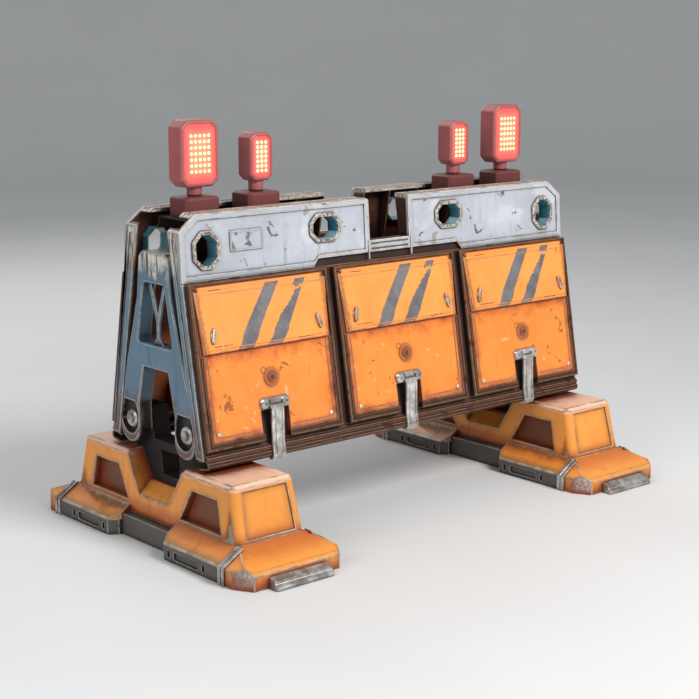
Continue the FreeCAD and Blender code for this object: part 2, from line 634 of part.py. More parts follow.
def across(points):
    """Outline (x offset, z) mirrored about the foot's middle."""
    return points + [(-x, z) for x, z in reversed(points)]


def tower_body():
    body = prism_x(foot_side_outline(0), -TOWER_HALF, TOWER_HALF)
    taper = across([(TOWER_HALF - 20, TOWER_TOP), (TOWER_HALF - 8, TOWER_TOP - 12),
                    (TOWER_HALF, SHOULDER_Z), (TOWER_HALF, 0)])
    body = body.common(prism_y(taper, -500, 500))
    corners = [e for e in body.Edges
               if abs(abs(e.CenterOfMass.x) - 129) < 6 and abs(abs(e.CenterOfMass.y) - 459) < 8
               and e.Length > 120]
    return body.makeFillet(24, corners)


def trough_slopes():
    """The trough's floor falls away to both sides of the foot."""
    slopes = []
    for side in (-1, 1):
        deep = prism_x([(84, 146), (190, 328), (-190, 328), (-84, 146)], -150, 150)
        above = prism_y([(side * 140, 141.6), (side * 68, 187), (side * 68, 400),
                         (side * 140, 400)], -300, 300)
        slopes.append(deep.common(above))
    return slopes


def window_pockets():
    pockets = []
    for side in (-1, 1):
        for end in (-1, 1):
            outline = [(end * 218, 227), (end * 357, 227), (end * 381, 118), (end * 155, 118)]
            x0, x1 = sorted((side * (TOWER_HALF - 30), side * (TOWER_HALF + 5)))
            pockets.append(prism_x(outline, x0, x1))
    return pockets


def end_panels():
    panels = []
    for end in (-1, 1):
        slab = prism_x([(end * (tower_end_y(z) + d), z)
                        for z, d in ((117, -6), (265, -6), (265, 20), (117, 20))], -110, 110)
        outline = across([(90, 265), (98, 117)])
        panels.append(slab.common(prism_y(outline, -600, 600)))
    return panels


def make_foot():
    body = cut(tower_body(), trough_slopes() + window_pockets() + end_panels())
    pieces = [body]
    skirt = [(TOWER_HALF - 15, SHOULDER_Z), (TOWER_HALF, SHOULDER_Z), (BASE_HALF, CREASE_Z),
             (BASE_HALF, 55.2), (TOWER_HALF - 15, 55.2)]
    for side in (-1, 1):
        for end in (-1, 1):
            wing = prism_y([(side * x, z) for x, z in skirt], *sorted((end * 140, end * 481)))
            bevel = prism_z([(side * 230, end * 130), (side * 230, end * 185),
                             (side * 160, end * 130)], 0, 120)
            pieces.append(wing.cut(bevel))
    for end in (-1, 1):
        side_view = [(end * 471, 0.0), (end * BUMPER_Y, 0.0), (end * BUMPER_Y, 50.0),
                     (end * (BUMPER_Y - 12), 61.0), (end * 484, SHOULDER_Z + 2),
                     (end * 471, SHOULDER_Z + 2)]
        end_view = across([(TOWER_HALF, SHOULDER_Z + 2), (BASE_HALF, CREASE_Z),
                           (BASE_HALF, 0)])
        plan = [(BASE_HALF, end * 460), (BASE_HALF, end * 548), (172, end * BUMPER_Y)]
        plan = plan + [(-x, y) for x, y in reversed(plan)]
        bumper = prism_x(side_view, -220, 220).common(prism_y(end_view, -700, 700))
        pieces.append(bumper.common(prism_z(plan, -5, 200)))
    foot = fuse(pieces)
    hollow_side = [(101, 160), (171, 278), (418, 278), (462, 100), (462, 60)]
    hollow = prism_x(hollow_side + [(-y, z) for y, z in reversed(hollow_side)], -97, 97)
    hollow = hollow.common(prism_y(across([(90, 278), (96, 60)]), -600, 600))
    under = [box(-190, 190, *sorted((end * 482, end * (BUMPER_Y - 34))), -1, 44)
             for end in (-1, 1)]
    return moved(foot.cut(Part.makeCompound([hollow] + under)), x=-FOOT_X)


def make_skid():
    """Grey runner under the foot, with slots along its outer faces."""
    base = box(-165, 165, -470.5, 470.5, 0, 55)
    middle = box(-165, 165, -139.5, 139.5, 54, 75)
    pieces = [base, middle]
    for side in (-1, 1):
        for end in (-1, 1):
            plan = [(side * 160, end * 145), (side * 178, end * 145),
                    (side * BASE_HALF, end * 169), (side * BASE_HALF, end * 470.5),
                    (side * 160, end * 470.5)]
            pieces.append(prism_z(plan, 0, 55))
    skid = fuse(pieces)
    slots = []
    for side in (-1, 1):
        x0, x1 = sorted((side * (BASE_HALF - 7), side * (BASE_HALF + 3)))
        for end in (-1, 1):
            for middle, length in ((197, 14), (293, 134), (389, 14)):
                outline = eight_corners(length, 26, 6)
                slots.append(prism_x([(end * middle + y, 27 + z) for y, z in outline], x0, x1))
    wells = [box(-110, 110, -130, 130, 8, 67)]
    for end in (-1, 1):
        wells.append(box(-150, 150, *sorted((end * 150, end * 458)), 8, 60))
    return moved(cut(skid, slots + wells), x=-FOOT_X)


def make_bands():
    """Two metal straps at each end of a foot, with a groove round each."""
    bands = []
    fall = (SHOULDER_Z + 2 - CREASE_Z) / (BASE_HALF - TOWER_HALF)
    inner = [(TOWER_HALF + 4, SHOULDER_Z + 2 - 4 * fall + 0.2), (BASE_HALF + 0.2, CREASE_Z + 0.2),
             (BASE_HALF + 0.2, 0)]
    outer = [(BASE_HALF + 6, 0), (BASE_HALF + 6, CREASE_Z + 3), (TOWER_HALF + 4, SHOULDER_Z + 6)]
    for side in (-1, 1):
        for end in (-1, 1):
            strap = prism_y([(side * x, z) for x, z in inner + outer],
                            *sorted((end * 474, end * 506)))
            groove = prism_y([(side * (TOWER_HALF - 5), SHOULDER_Z + 20),
                              (side * (TOWER_HALF - 5), SHOULDER_Z + 7),
                              (side * (BASE_HALF + 3), CREASE_Z + 1.2),
                              (side * (BASE_HALF + 3), -5), (side * 240, -5),
                              (side * 240, SHOULDER_Z + 20)], *sorted((end * 487, end * 493)))
            bands.append(moved(strap.cut(groove), x=-FOOT_X))
    return bands


def make_toe_plates():
    plates = []
    for end in (-1, 1):
        profile = [(end * (BUMPER_Y + 0.2), 0), (end * (TOE_Y - 4), 0), (end * TOE_Y, 4),
                   (end * TOE_Y, 14), (end * (TOE_Y - 14), 20), (end * (TOE_Y - 14), 28),
                   (end * (BUMPER_Y + 12), 38), (end * (BUMPER_Y + 0.2), 38)]
        plates.append(moved(prism_x(profile, -115, 115), x=-FOOT_X))
    return plates


# ---------------------------------------------------------------- lamps
def make_lamp_tray():
    """Folded channel held between the two boards' inner faces."""
    low = TRAY_TOP - 40
    half = [(inner_y(TRAY_TOP) - 0.4, TRAY_TOP), (inner_y(low) - 0.4, low),
            (inner_y(low) - 4.4, low), (inner_y(TRAY_TOP) - 5.4, TRAY_TOP - 6)]
    return prism_x(mirror_points(half), -812, -384)


def make_lamp_base(x):
    width, depth, height = LAMP_BASE
    w, d = width / 2, depth / 2
    plan = [(w - 12, -d), (w, -d + 12), (w, d - 12), (w - 12, d), (-w + 12, d), (-w, d - 12),
            (-w, -d + 12), (-w + 12, -d)]
    shell = prism_z(plan, TRAY_TOP, TRAY_TOP + height)
    rim = [e for e in shell.Edges if abs(e.CenterOfMass.z - TRAY_TOP - height) < 0.01]
    shell = shell.makeChamfer(7, rim)
    cavity = box(-w + 5, w - 5, -d + 14, d - 14, TRAY_TOP - 1, TRAY_TOP + height - 14)
    bore = rod((0, 0, 1), (0, 0, TRAY_TOP), SPIGOT_R + RUNNING, height + 5)
    return moved(cut(shell, [cavity, bore]), x=x)


def make_battery(x):
    return moved(box(-58, 58, -38, 38, TRAY_TOP, TRAY_TOP + 36), x=x)


def head_outline(width, height, low, corner, inset):
    w = width / 2 - inset
    z0, z1 = low + inset, low + height - inset
    return [(w - corner, z0), (w, z0 + corner), (w, z1 - corner), (w - corner, z1),
            (-w + corner, z1), (-w, z1 - corner), (-w, z0 + corner), (-w + corner, z0)]


def lamp_size(x):
    return BIG_HEAD if abs(x) > 600 else SMALL_HEAD


def make_lamp_head(x):
    """Housing with a recessed front, on a neck that turns in the base."""
    width, depth, height, low = lamp_size(x)
    corner = 24.0 if width > 120 else 19.0
    d = depth / 2
    shell = prism_y(head_outline(width, height, low, corner, 0), -d, d)
    rims = [e for e in shell.Edges if abs(abs(e.CenterOfMass.y) - d) < 0.01]
    shell = shell.makeChamfer(6, rims)
    recess = prism_y(head_outline(width, height, low, corner - 4, 13), -d - 1, -d + 8)
    hollow = prism_y(head_outline(width, height, low, corner - 6, 20), -d + 7, d - 6)
    base_top = TRAY_TOP + LAMP_BASE[2]
    neck = bar((0, 0, 1), (0, 0, base_top + 0.4), NECK_R, low - base_top + 2, 20)
    neck = neck.makeChamfer(4, rim_edges(neck, "z", base_top + 0.4))
    spigot = rod((0, 0, 1), (0, 0, base_top - 10), SPIGOT_R, 20)
    return moved(fuse([cut(shell, [recess, hollow]), neck, spigot]), x=x)


def make_lens(x):
    width, depth, height, low = lamp_size(x)
    corner = 24.0 if width > 120 else 19.0
    d = depth / 2
    return moved(prism_y(head_outline(width, height, low, corner - 4, 13.2), -d + 2.5, -d + 7.9),
                 x=x)


# ---------------------------------------------------------------- build everything
def both_sides(shapes):
    """Pieces of the front or left, with those of the rear or right, in one node."""
    return Part.makeCompound(shapes + [half_turn(s) for s in shapes])


def save_pair(name_a, name_b, shape):
    save(name_a, shape)
    save(name_b, half_turn(shape))


def build():
    os.makedirs("parts", exist_ok=True)
    save_pair("front_board", "rear_board", make_board())
    save_pair("front_top_plate", "rear_top_plate", make_top_plate())
    save("opening_sleeves", both_sides(make_sleeves()))
    save("edge_channels", both_sides(make_edge_caps()))
    save("corner_bolts", both_sides(make_corner_bolts()))

    cassette, flap, strap = make_cassette(), make_flap(), make_latch()
    buttons = {-1: make_button(-1), 1: make_button(1)}
    hinge_rods, latch_plates = [], []
    names = {-1: "left", 0: "centre", 1: "right"}
    for index, place in names.items():
        other = names[-index]
        for kind, shape in (("cassette", cassette), ("flap", flap), ("latch", strap)):
            save_pair("front_%s_%s" % (kind, place), "rear_%s_%s" % (kind, other),
                      place_module(shape, index))
        for side, hand in ((-1, "a"), (1, "b")):
            save_pair("front_button_%s_%s" % (place, hand),
                      "rear_button_%s_%s" % (other, hand), place_module(buttons[side], index))
        pin = bar((1, 0, 0), (-TRAY_HALF, -HINGE_D, HINGE_H), ROD_R - 0.01, 2 * TRAY_HALF, 12)
        hinge_rods.append(place_module(pin, index))
        latch_plates.append(place_module(make_latch_plate(), index))
    save("hinge_rods", both_sides(hinge_rods))
    save("latch_plates", both_sides(latch_plates))

    save_pair("end_frame_left", "end_frame_right", make_end_frame())
    save("hub_bolts", both_sides(make_hub_bolts()))
    save("saddles", both_sides([make_saddle()]))
    save_pair("foot_left", "foot_right", make_foot())
    save_pair("skid_left", "skid_right", make_skid())
    save("foot_bands", both_sides(make_bands()))
    save("toe_plates", both_sides(make_toe_plates()))

    save("lamp_trays", both_sides([make_lamp_tray()]))
    save("lamp_bases", Part.makeCompound([make_lamp_base(x) for x in LAMP_XS]))
    save("batteries", Part.makeCompound([make_battery(x) for x in LAMP_XS]))
    for number, x in enumerate(LAMP_XS, start=1):
        save("lamp_head_%d" % number, make_lamp_head(x))
        save("lens_%d" % number, make_lens(x))


build()
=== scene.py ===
"""Finishes of the road traffic barrier: rounded sheet-metal pieces, worn paint, lamps and stage."""
import bpy
import bmesh
import json
import math
from mathutils import Vector
from mathutils.geometry import delaunay_2d_cdt, intersect_point_line
from mathutils.kdtree import KDTree
from bpy.props import (BoolProperty, FloatProperty, FloatVectorProperty, IntProperty,
                       PointerProperty)
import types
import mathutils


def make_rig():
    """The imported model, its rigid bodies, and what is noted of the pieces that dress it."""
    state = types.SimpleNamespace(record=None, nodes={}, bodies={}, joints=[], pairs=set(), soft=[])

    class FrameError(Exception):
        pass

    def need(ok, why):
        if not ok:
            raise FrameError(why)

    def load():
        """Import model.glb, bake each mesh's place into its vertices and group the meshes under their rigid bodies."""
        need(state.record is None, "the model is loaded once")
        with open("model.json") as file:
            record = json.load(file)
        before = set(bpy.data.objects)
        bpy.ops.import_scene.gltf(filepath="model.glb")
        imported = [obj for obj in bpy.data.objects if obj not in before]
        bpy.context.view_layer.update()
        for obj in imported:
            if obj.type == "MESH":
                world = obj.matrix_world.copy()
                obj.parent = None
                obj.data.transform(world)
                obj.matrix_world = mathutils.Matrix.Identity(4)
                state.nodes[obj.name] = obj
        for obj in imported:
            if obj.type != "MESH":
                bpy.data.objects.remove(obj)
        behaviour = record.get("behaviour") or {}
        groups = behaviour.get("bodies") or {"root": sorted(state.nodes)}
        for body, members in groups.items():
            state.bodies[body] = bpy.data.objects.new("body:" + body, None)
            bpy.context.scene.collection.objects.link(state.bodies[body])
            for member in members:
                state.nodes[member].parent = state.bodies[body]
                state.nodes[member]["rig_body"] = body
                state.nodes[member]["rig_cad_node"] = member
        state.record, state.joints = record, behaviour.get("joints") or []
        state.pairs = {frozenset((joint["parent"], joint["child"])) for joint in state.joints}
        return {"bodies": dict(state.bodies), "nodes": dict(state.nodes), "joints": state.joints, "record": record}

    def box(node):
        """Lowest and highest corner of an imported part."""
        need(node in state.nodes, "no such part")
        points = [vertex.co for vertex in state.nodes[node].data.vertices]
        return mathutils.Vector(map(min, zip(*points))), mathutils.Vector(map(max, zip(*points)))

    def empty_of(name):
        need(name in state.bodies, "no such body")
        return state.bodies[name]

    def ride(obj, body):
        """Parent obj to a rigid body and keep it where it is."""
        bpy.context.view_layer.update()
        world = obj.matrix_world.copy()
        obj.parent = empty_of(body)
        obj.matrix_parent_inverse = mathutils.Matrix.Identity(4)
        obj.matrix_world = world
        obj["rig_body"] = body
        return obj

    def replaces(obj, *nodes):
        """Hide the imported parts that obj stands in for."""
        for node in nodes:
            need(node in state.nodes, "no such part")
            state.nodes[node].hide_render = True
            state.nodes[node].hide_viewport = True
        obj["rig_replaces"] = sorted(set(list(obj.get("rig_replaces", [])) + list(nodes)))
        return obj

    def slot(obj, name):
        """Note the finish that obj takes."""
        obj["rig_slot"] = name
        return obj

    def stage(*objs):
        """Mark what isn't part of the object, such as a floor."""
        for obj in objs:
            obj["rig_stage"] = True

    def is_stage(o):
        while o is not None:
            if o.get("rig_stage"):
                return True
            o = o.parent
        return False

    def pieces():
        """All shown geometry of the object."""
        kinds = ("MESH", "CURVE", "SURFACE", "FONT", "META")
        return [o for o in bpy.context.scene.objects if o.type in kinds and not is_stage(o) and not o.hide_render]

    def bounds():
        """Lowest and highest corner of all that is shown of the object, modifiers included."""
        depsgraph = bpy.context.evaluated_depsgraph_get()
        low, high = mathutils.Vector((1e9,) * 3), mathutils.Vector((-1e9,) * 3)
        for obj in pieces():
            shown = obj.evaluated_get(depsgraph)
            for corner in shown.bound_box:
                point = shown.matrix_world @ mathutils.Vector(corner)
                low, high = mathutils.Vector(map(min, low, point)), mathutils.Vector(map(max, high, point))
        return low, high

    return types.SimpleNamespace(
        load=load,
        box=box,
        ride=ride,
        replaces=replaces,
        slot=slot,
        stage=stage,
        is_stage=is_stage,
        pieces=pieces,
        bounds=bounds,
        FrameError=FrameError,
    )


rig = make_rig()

bl_info = {
    "name": "Traffic Barrier Finishes",
    "version": (1, 0, 0),
    "blender": (4, 5, 0),
    "location": "3D View > Sidebar > Barrier",
    "description": "Dresses the packed traffic barrier with worn paint, lamps and a stage",
    "category": "Object",
}

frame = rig.load()
CAD_BOX = [list(corner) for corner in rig.bounds()]
SLOT_OF = {part["node"]: part["material_slot"] for part in frame["record"]["subparts"]}
BODY_OF = {node: body for body, nodes in frame["record"]["behaviour"]["bodies"].items()
           for node in nodes}
SIDES = ("front", "rear")
PLACES = ("left", "centre", "right")
LAMPS = (1, 2, 3, 4)
HEEL = (0.269, 0.334)          # lower corner of the boards, out and up
BEND = (0.170, 0.898)          # where their upper face meets the leaning lower face
TOP = (0.155, 1.119)           # their top edge
LEAN = math.atan2(HEEL[0] - BEND[0], BEND[1] - HEEL[1])    # lean of the lower faces
FOOT_X = 0.787                 # middle of a foot, from the middle of the barrier
TOWER_TOP = 0.266              # where the painted light on the tops of the feet starts


def colour(name, default, words):
    return FloatVectorProperty(name=name, description=words, subtype="COLOR", size=3, min=0.0,
                               max=1.0, default=default)


# ---------------------------------------------------------------- settings
class BarrierPaint(bpy.types.PropertyGroup):
    flap: colour("Flap", (0.95, 0.325, 0.066), "Light orange paint of the flaps")
    panel: colour("Panel", (0.90, 0.27, 0.040), "Orange paint of the module panels")
    # Deep orange is the colour of the painted shade in corners and along borders, and of runs and stains.
    deep: colour("Deep orange", (0.40, 0.055, 0.012), "Orange paint where dirt has gathered")
    stripe: colour("Stripe", (0.15, 0.14, 0.15), "Grey warning stripes")
    plate: colour("Plate", (0.47, 0.49, 0.54), "Grey-white paint of the top plates")
    rim: colour("Rim", (0.72, 0.69, 0.62), "Dirty off-white of worn edges")
    rust: colour("Rust", (0.085, 0.028, 0.012), "Brown rust in chips and runs")
    frame: colour("Frame", (0.060, 0.017, 0.007), "Dark brown of the module rims")
    blue: colour("Blue", (0.115, 0.205, 0.29), "Blue-grey paint of the end frames")
    teal: colour("Teal", (0.07, 0.29, 0.38), "Teal paint inside the hand openings")
    foot: colour("Foot", (0.88, 0.33, 0.055), "Orange paint of the feet")
    skid: colour("Skid", (0.10, 0.085, 0.075), "Scuffed grey of the skids")
    lamp: colour("Lamp", (0.40, 0.105, 0.10), "Faded red plastic of the lamps")
    lamp_base: colour("Lamp base", (0.15, 0.035, 0.032), "Red-brown plastic of the lamp bases")


class BarrierWear(bpy.types.PropertyGroup):
    edge: FloatProperty(name="Edge wear", description="How far paint is worn off the edges",
                        default=1.0, min=0.0, max=2.0)
    # Strength of the painted shade in the corners.
    corner_shade: FloatProperty(name="Corner shade", description="How much dirt lies in the corners",
                         default=1.0, min=0.0, max=2.0)
    chips: FloatProperty(name="Chips", description="How many chips the open faces have",
                         default=1.0, min=0.0, max=2.0)


class BarrierLamps(bpy.types.PropertyGroup):
    big_columns: IntProperty(name="Big columns", description="Diodes across a big lamp",
                             default=5, min=1, max=12)
    small_columns: IntProperty(name="Small columns", description="Diodes across a small lamp",
                               default=3, min=1, max=12)
    rows: IntProperty(name="Rows", description="Diodes down a lamp", default=7, min=1, max=20)
    pitch_x: FloatProperty(name="Pitch across", description="Distance between columns",
                           default=0.0176, min=0.002, unit="LENGTH")
    pitch_z: FloatProperty(name="Pitch down", description="Distance between rows of a big lamp",
                           default=0.0195, min=0.002, unit="LENGTH")
    small_pitch_z: FloatProperty(name="Small pitch down",
                                 description="Distance between rows of a small lamp",
                                 default=0.0160, min=0.002, unit="LENGTH")
    radius: FloatProperty(name="Diode radius", description="Radius of one diode's dome",
                          default=0.0055, min=0.001, unit="LENGTH")
    glow: FloatProperty(name="Glow", description="Strength of the lens's own light",
                        default=1.0, min=0.0, max=20.0)


class BarrierStage(bpy.types.PropertyGroup):
    floor: colour("Floor", (0.72, 0.72, 0.71), "Plain pale floor")
    key: FloatProperty(name="Key light", description="Power of the big soft light",
                       default=400.0, min=0.0, unit="POWER")
    fill: FloatProperty(name="Fill light", description="Power of the fill light",
                        default=95.0, min=0.0, unit="POWER")
    sky: FloatProperty(name="Sky", description="Strength of the even light all round",
                       default=0.42, min=0.0)
    soft: BoolProperty(name="Soft", description="Use very large lights", default=True)


# ---------------------------------------------------------------- node trees
class Shade:
    """Short calls that build one material's node tree."""

    def __init__(self, name):
        self.material = bpy.data.materials.new(name)
        self.material.use_nodes = True
        self.tree = self.material.node_tree
        self.tree.nodes.clear()
        self.surface = self.node("ShaderNodeBsdfPrincipled")
        self.output = self.node("ShaderNodeOutputMaterial")
        self.join(self.surface.outputs["BSDF"], self.output.inputs["Surface"])
        self.place = self.node("ShaderNodeTexCoord").outputs["Object"]

    def node(self, kind, **settings):
        made = self.tree.nodes.new(kind)
        for key, value in settings.items():
            setattr(made, key, value)
        return made

    def join(self, value, socket):
        if isinstance(value, bpy.types.NodeSocket):
            self.tree.links.new(value, socket)
        elif isinstance(value, (tuple, list)) and len(value) == 3 and socket.type == "RGBA":
            socket.default_value = (*value, 1.0)
        else:
            socket.default_value = value

    def math(self, operation, a, b=0.0, clamp=False):
        made = self.node("ShaderNodeMath", operation=operation, use_clamp=clamp)
        self.join(a, made.inputs[0])
        self.join(b, made.inputs[1])
        return made.outputs[0]

    def sway(self, value, amount):
        """A noise value made to go as far below zero as above, and scaled."""
        return self.math("MULTIPLY", self.math("SUBTRACT", value, 0.5), amount)

    def ramp(self, value, low, high, out_low=0.0, out_high=1.0):
        """Smooth step of a value between two limits."""
        made = self.node("ShaderNodeMapRange", interpolation_type="SMOOTHSTEP", clamp=True)
        for key, number in (("Value", value), ("From Min", low), ("From Max", high),
                            ("To Min", out_low), ("To Max", out_high)):
            self.join(number, made.inputs[key])
        return made.outputs["Result"]

    def stretched(self, scale, turn=(0.0, 0.0, 0.0)):
        made = self.node("ShaderNodeMapping")
        made.inputs["Scale"].default_value = scale
        made.inputs["Rotation"].default_value = turn
        self.join(self.place, made.inputs["Vector"])
        return made.outputs["Vector"]

    def noise(self, scale, detail=3.0, rough=0.55, vector=None, distortion=0.0):
        made = self.node("ShaderNodeTexNoise")
        self.join(vector or self.place, made.inputs["Vector"])
        for key, number in (("Scale", scale), ("Detail", detail), ("Roughness", rough),
                            ("Distortion", distortion)):
            made.inputs[key].default_value = number
        return made.outputs["Fac"]

    def mix(self, factor, a, b):
        made = self.node("ShaderNodeMix", data_type="RGBA", blend_type="MIX")
        self.join(factor, made.inputs[0])
        self.join(a, made.inputs[6])
        self.join(b, made.inputs[7])
        return made.outputs[2]

    def axes(self):
        """Object coordinates as three values."""
        split = self.node("ShaderNodeSeparateXYZ")
        self.join(self.place, split.inputs[0])
        return split.outputs["X"], split.outputs["Y"], split.outputs["Z"]

    def face_map(self):
        """The piece's own map as two values."""
        split = self.node("ShaderNodeSeparateXYZ")
        self.join(self.node("ShaderNodeUVMap", uv_map="face").outputs["UV"], split.inputs[0])
        return split.outputs["X"], split.outputs["Y"]

    def edges(self, radius):
        """How far the surface turns within a radius: high along edges and in corners."""
        soft = self.node("ShaderNodeBevel", samples=6)
        soft.inputs["Radius"].default_value = radius
        true = self.node("ShaderNodeNewGeometry").outputs["True Normal"]
        product = self.node("ShaderNodeVectorMath", operation="DOT_PRODUCT")
        self.join(soft.outputs["Normal"], product.inputs[0])
        self.join(true, product.inputs[1])
        return self.math("SUBTRACT", 1.0, product.outputs["Value"], clamp=True)

    def open_sky(self, distance):
        """High on open faces and low in corners and gaps."""
        made = self.node("ShaderNodeAmbientOcclusion", samples=8)
        made.inputs["Distance"].default_value = distance
        return made.outputs["AO"]

    def bump(self, height, strength, distance, under=None):
        made = self.node("ShaderNodeBump")
        made.inputs["Strength"].default_value = strength
        made.inputs["Distance"].default_value = distance
        self.join(height, made.inputs["Height"])
        if under is not None:
            self.join(under, made.inputs["Normal"])
        return made.outputs["Normal"]

    def finish(self, base, rough, normal=None):
        self.join(base, self.surface.inputs["Base Color"])
        self.join(rough, self.surface.inputs["Roughness"])
        if normal is not None:
            self.join(normal, self.surface.inputs["Normal"])
        return self.material


def worn_paint(name, paint, deep, bare, rust, edge_radius=0.012, wear=1.0, corner_shade=0.8, chips=0.5,
               runs=0.4, gloss=0.42, reach=0.06, decorate=None):
    """Paint that is worn bright along its edges, darkened in its corners by painted shade and chipped in spots."""
    look = bpy.context.scene.barrier_wear
    s = Shade(name)
    slow = s.noise(4.0, 4.0)
    patch = s.noise(17.0, 5.0, 0.6)
    blot = s.noise(33.0, 4.0, 0.7, distortion=0.4)
    fine = s.noise(95.0, 6.0, 0.65)
    grain = s.noise(420.0, 3.0, 0.6)
    streak = s.noise(1.0, 5.0, 0.6, vector=s.stretched((46.0, 46.0, 3.4)))
    scratch = s.noise(1.0, 3.0, 0.5, vector=s.stretched((9.0, 90.0, 160.0), (0.3, 0.5, 0.4)))
    turn = s.edges(edge_radius)
    clear = s.open_sky(reach)
    near = s.open_sky(edge_radius * 1.4)

    base = s.mix(s.ramp(slow, 0.3, 0.7), tuple(c * 0.82 for c in paint), paint)
    base = s.mix(s.ramp(patch, 0.35, 0.75, 0.0, 0.4), base,
                 tuple(min(1.0, c * 1.12 + 0.01) for c in paint))
    if decorate is not None:
        base = decorate(s, base, fine, patch)
    # Painted shade: the paint turns deep orange in corners and gaps, from ambient occlusion varied by noise; the same
    # mask makes them rougher.
    shut = s.math("SUBTRACT", 1.0, clear)
    shade_and_dirt = s.math("ADD", shut, s.sway(patch, 0.45))
    shade_and_dirt = s.ramp(shade_and_dirt, 0.10, 0.58, 0.0, min(1.0, corner_shade * look.corner_shade))
    base = s.mix(shade_and_dirt, base, deep)
    run = s.math("MULTIPLY", s.ramp(streak, 0.54, 0.72), s.ramp(slow, 0.40, 0.65))
    base = s.mix(s.math("MULTIPLY", run, runs), base,
                 tuple(0.5 * d + 0.5 * r for d, r in zip(deep, rust)))
    amount = chips * look.chips
    spots = s.ramp(s.math("ADD", fine, s.sway(slow, 0.4)),
                   0.72 - 0.05 * amount, 0.75, 0.0, min(1.0, 0.4 + amount))
    blots = s.ramp(s.math("ADD", blot, s.sway(slow, 0.3)),
                   0.74 - 0.08 * amount, 0.77, 0.0, 0.75)
    spots = s.math("MAXIMUM", spots, blots)
    base = s.mix(spots, base, rust)

    rough_edge = s.math("ADD", s.sway(fine, 1.5),
                        s.sway(patch, 1.5))
    bend = s.math("MULTIPLY", turn, s.ramp(near, 0.80, 0.97))
    bend = s.math("MULTIPLY", bend, 6.0 * wear * look.edge)
    ring = s.ramp(s.math("ADD", s.math("MULTIPLY", bend, 1.6),
                         s.math("MULTIPLY", rough_edge, 0.6)), 0.20, 0.55)
    rounded = s.node("ShaderNodeAttribute", attribute_name="worn").outputs["Fac"]
    rounded = s.math("MULTIPLY", rounded, s.ramp(patch, 0.34, 0.48))
    worn = s.math("MAXIMUM", s.ramp(s.math("ADD", bend, rough_edge), 0.50, 0.68), rounded)
    base = s.mix(s.math("MULTIPLY", ring, 0.75), base, rust)
    # Painted shade: darker still in tight corners.
    base = s.mix(s.ramp(near, 0.60, 0.93, 0.85 * min(1.0, corner_shade), 0.0), base,
                 tuple(0.5 * d + 0.2 * r for d, r in zip(deep, rust)))
    base = s.mix(worn, base, s.mix(s.ramp(patch, 0.38, 0.62), bare, tuple(0.45 * b for b in bare)))

    rough = s.math("ADD", gloss, s.sway(patch, 0.3))
    rough = s.math("ADD", rough, s.math("MULTIPLY", s.math("ADD", shade_and_dirt, spots), 0.22), clamp=True)
    level = s.math("SUBTRACT", 1.0, s.math("MAXIMUM", worn, spots))
    normal = s.bump(grain, 0.06, 0.0006)
    normal = s.bump(scratch, 0.05, 0.0008, normal)
    normal = s.bump(level, 0.35, 0.0012, normal)
    return s.finish(base, rough, normal)


def bare_metal(name, light, dark, rough=0.34, corner_shade=0.6, shine=0.7):
    """Scratched metal, with painted shade in its corners."""
    s = Shade(name)
    patch = s.noise(24.0, 5.0, 0.6)
    fine = s.noise(160.0, 5.0, 0.65)
    brushed = s.noise(1.0, 4.0, 0.6, vector=s.stretched((260.0, 260.0, 24.0)))
    clear = s.open_sky(0.02)
    turn = s.edges(0.0025)
    base = s.mix(s.ramp(patch, 0.35, 0.7), dark, light)
    base = s.mix(s.ramp(brushed, 0.5, 0.72, 0.0, 0.45), base, tuple(0.5 * c for c in dark))
    # Painted shade: near-black in corners and gaps, from ambient occlusion.
    base = s.mix(s.ramp(clear, 0.35, 0.9, corner_shade, 0.0), base, (0.03, 0.018, 0.012))
    base = s.mix(s.ramp(turn, 0.08, 0.3, 0.0, 0.8), base,
                 tuple(min(1.0, 1.25 * c + 0.05) for c in light))
    spread = s.math("ADD", rough, s.sway(fine, 0.35),
                    clamp=True)
    s.surface.inputs["Metallic"].default_value = shine
    return s.finish(base, spread, s.bump(brushed, 0.12, 0.0005, s.bump(fine, 0.1, 0.0004)))


def moulded_plastic(name, main, deep, rough=0.45):
    """Faded moulded plastic with a fine grain, painted shade in its corners and lighter worn edges."""
    s = Shade(name)
    slow = s.noise(9.0, 4.0)
    grain = s.noise(520.0, 2.0, 0.5)
    clear = s.open_sky(0.03)
    turn = s.edges(0.005)
    fine = s.noise(90.0, 5.0, 0.6)
    base = s.mix(s.ramp(slow, 0.3, 0.7), tuple(0.82 * c for c in main), main)
    # Painted shade: deeper colour in corners and gaps, from ambient occlusion.
    base = s.mix(s.ramp(clear, 0.3, 0.85, 0.85, 0.0), base, deep)
    edge = s.math("ADD", turn, s.sway(fine, 0.25))
    base = s.mix(s.ramp(edge, 0.05, 0.24, 0.0, 0.6), base,
                 tuple(min(1.0, 1.35 * c + 0.10) for c in main))
    spread = s.math("ADD", rough, s.sway(fine, 0.2))
    return s.finish(base, spread, s.bump(grain, 0.08, 0.0004))


def lit_lens(name, centre, rim, glow):
    """Lens that is lit from behind, brightest in the middle of each lamp."""
    s = Shade(name)
    across, down = s.face_map()
    far = s.math("MAXIMUM", s.math("ABSOLUTE", across), s.math("ABSOLUTE", down))
    ripple = s.noise(240.0, 2.0)
    fall = s.ramp(s.math("ADD", far, s.sway(ripple, 0.1)),
                  0.35, 1.0)
    base = s.mix(fall, centre, rim)
    s.join(base, s.surface.inputs["Emission Color"])
    s.surface.inputs["Emission Strength"].default_value = glow
    s.surface.inputs["Coat Weight"].default_value = 0.3
    return s.finish(base, s.math("ADD", 0.22, s.math("MULTIPLY", ripple, 0.12)),
                    s.bump(ripple, 0.08, 0.0005))


def lit_diode(name, hue, glow):
    s = Shade(name)
    grain = s.noise(300.0, 2.0)
    base = s.mix(grain, hue, tuple(min(1.0, c * 1.1) for c in hue))
    s.join(base, s.surface.inputs["Emission Color"])
    s.surface.inputs["Emission Strength"].default_value = glow
    return s.finish(base, s.math("ADD", 0.25, s.math("MULTIPLY", grain, 0.1)))


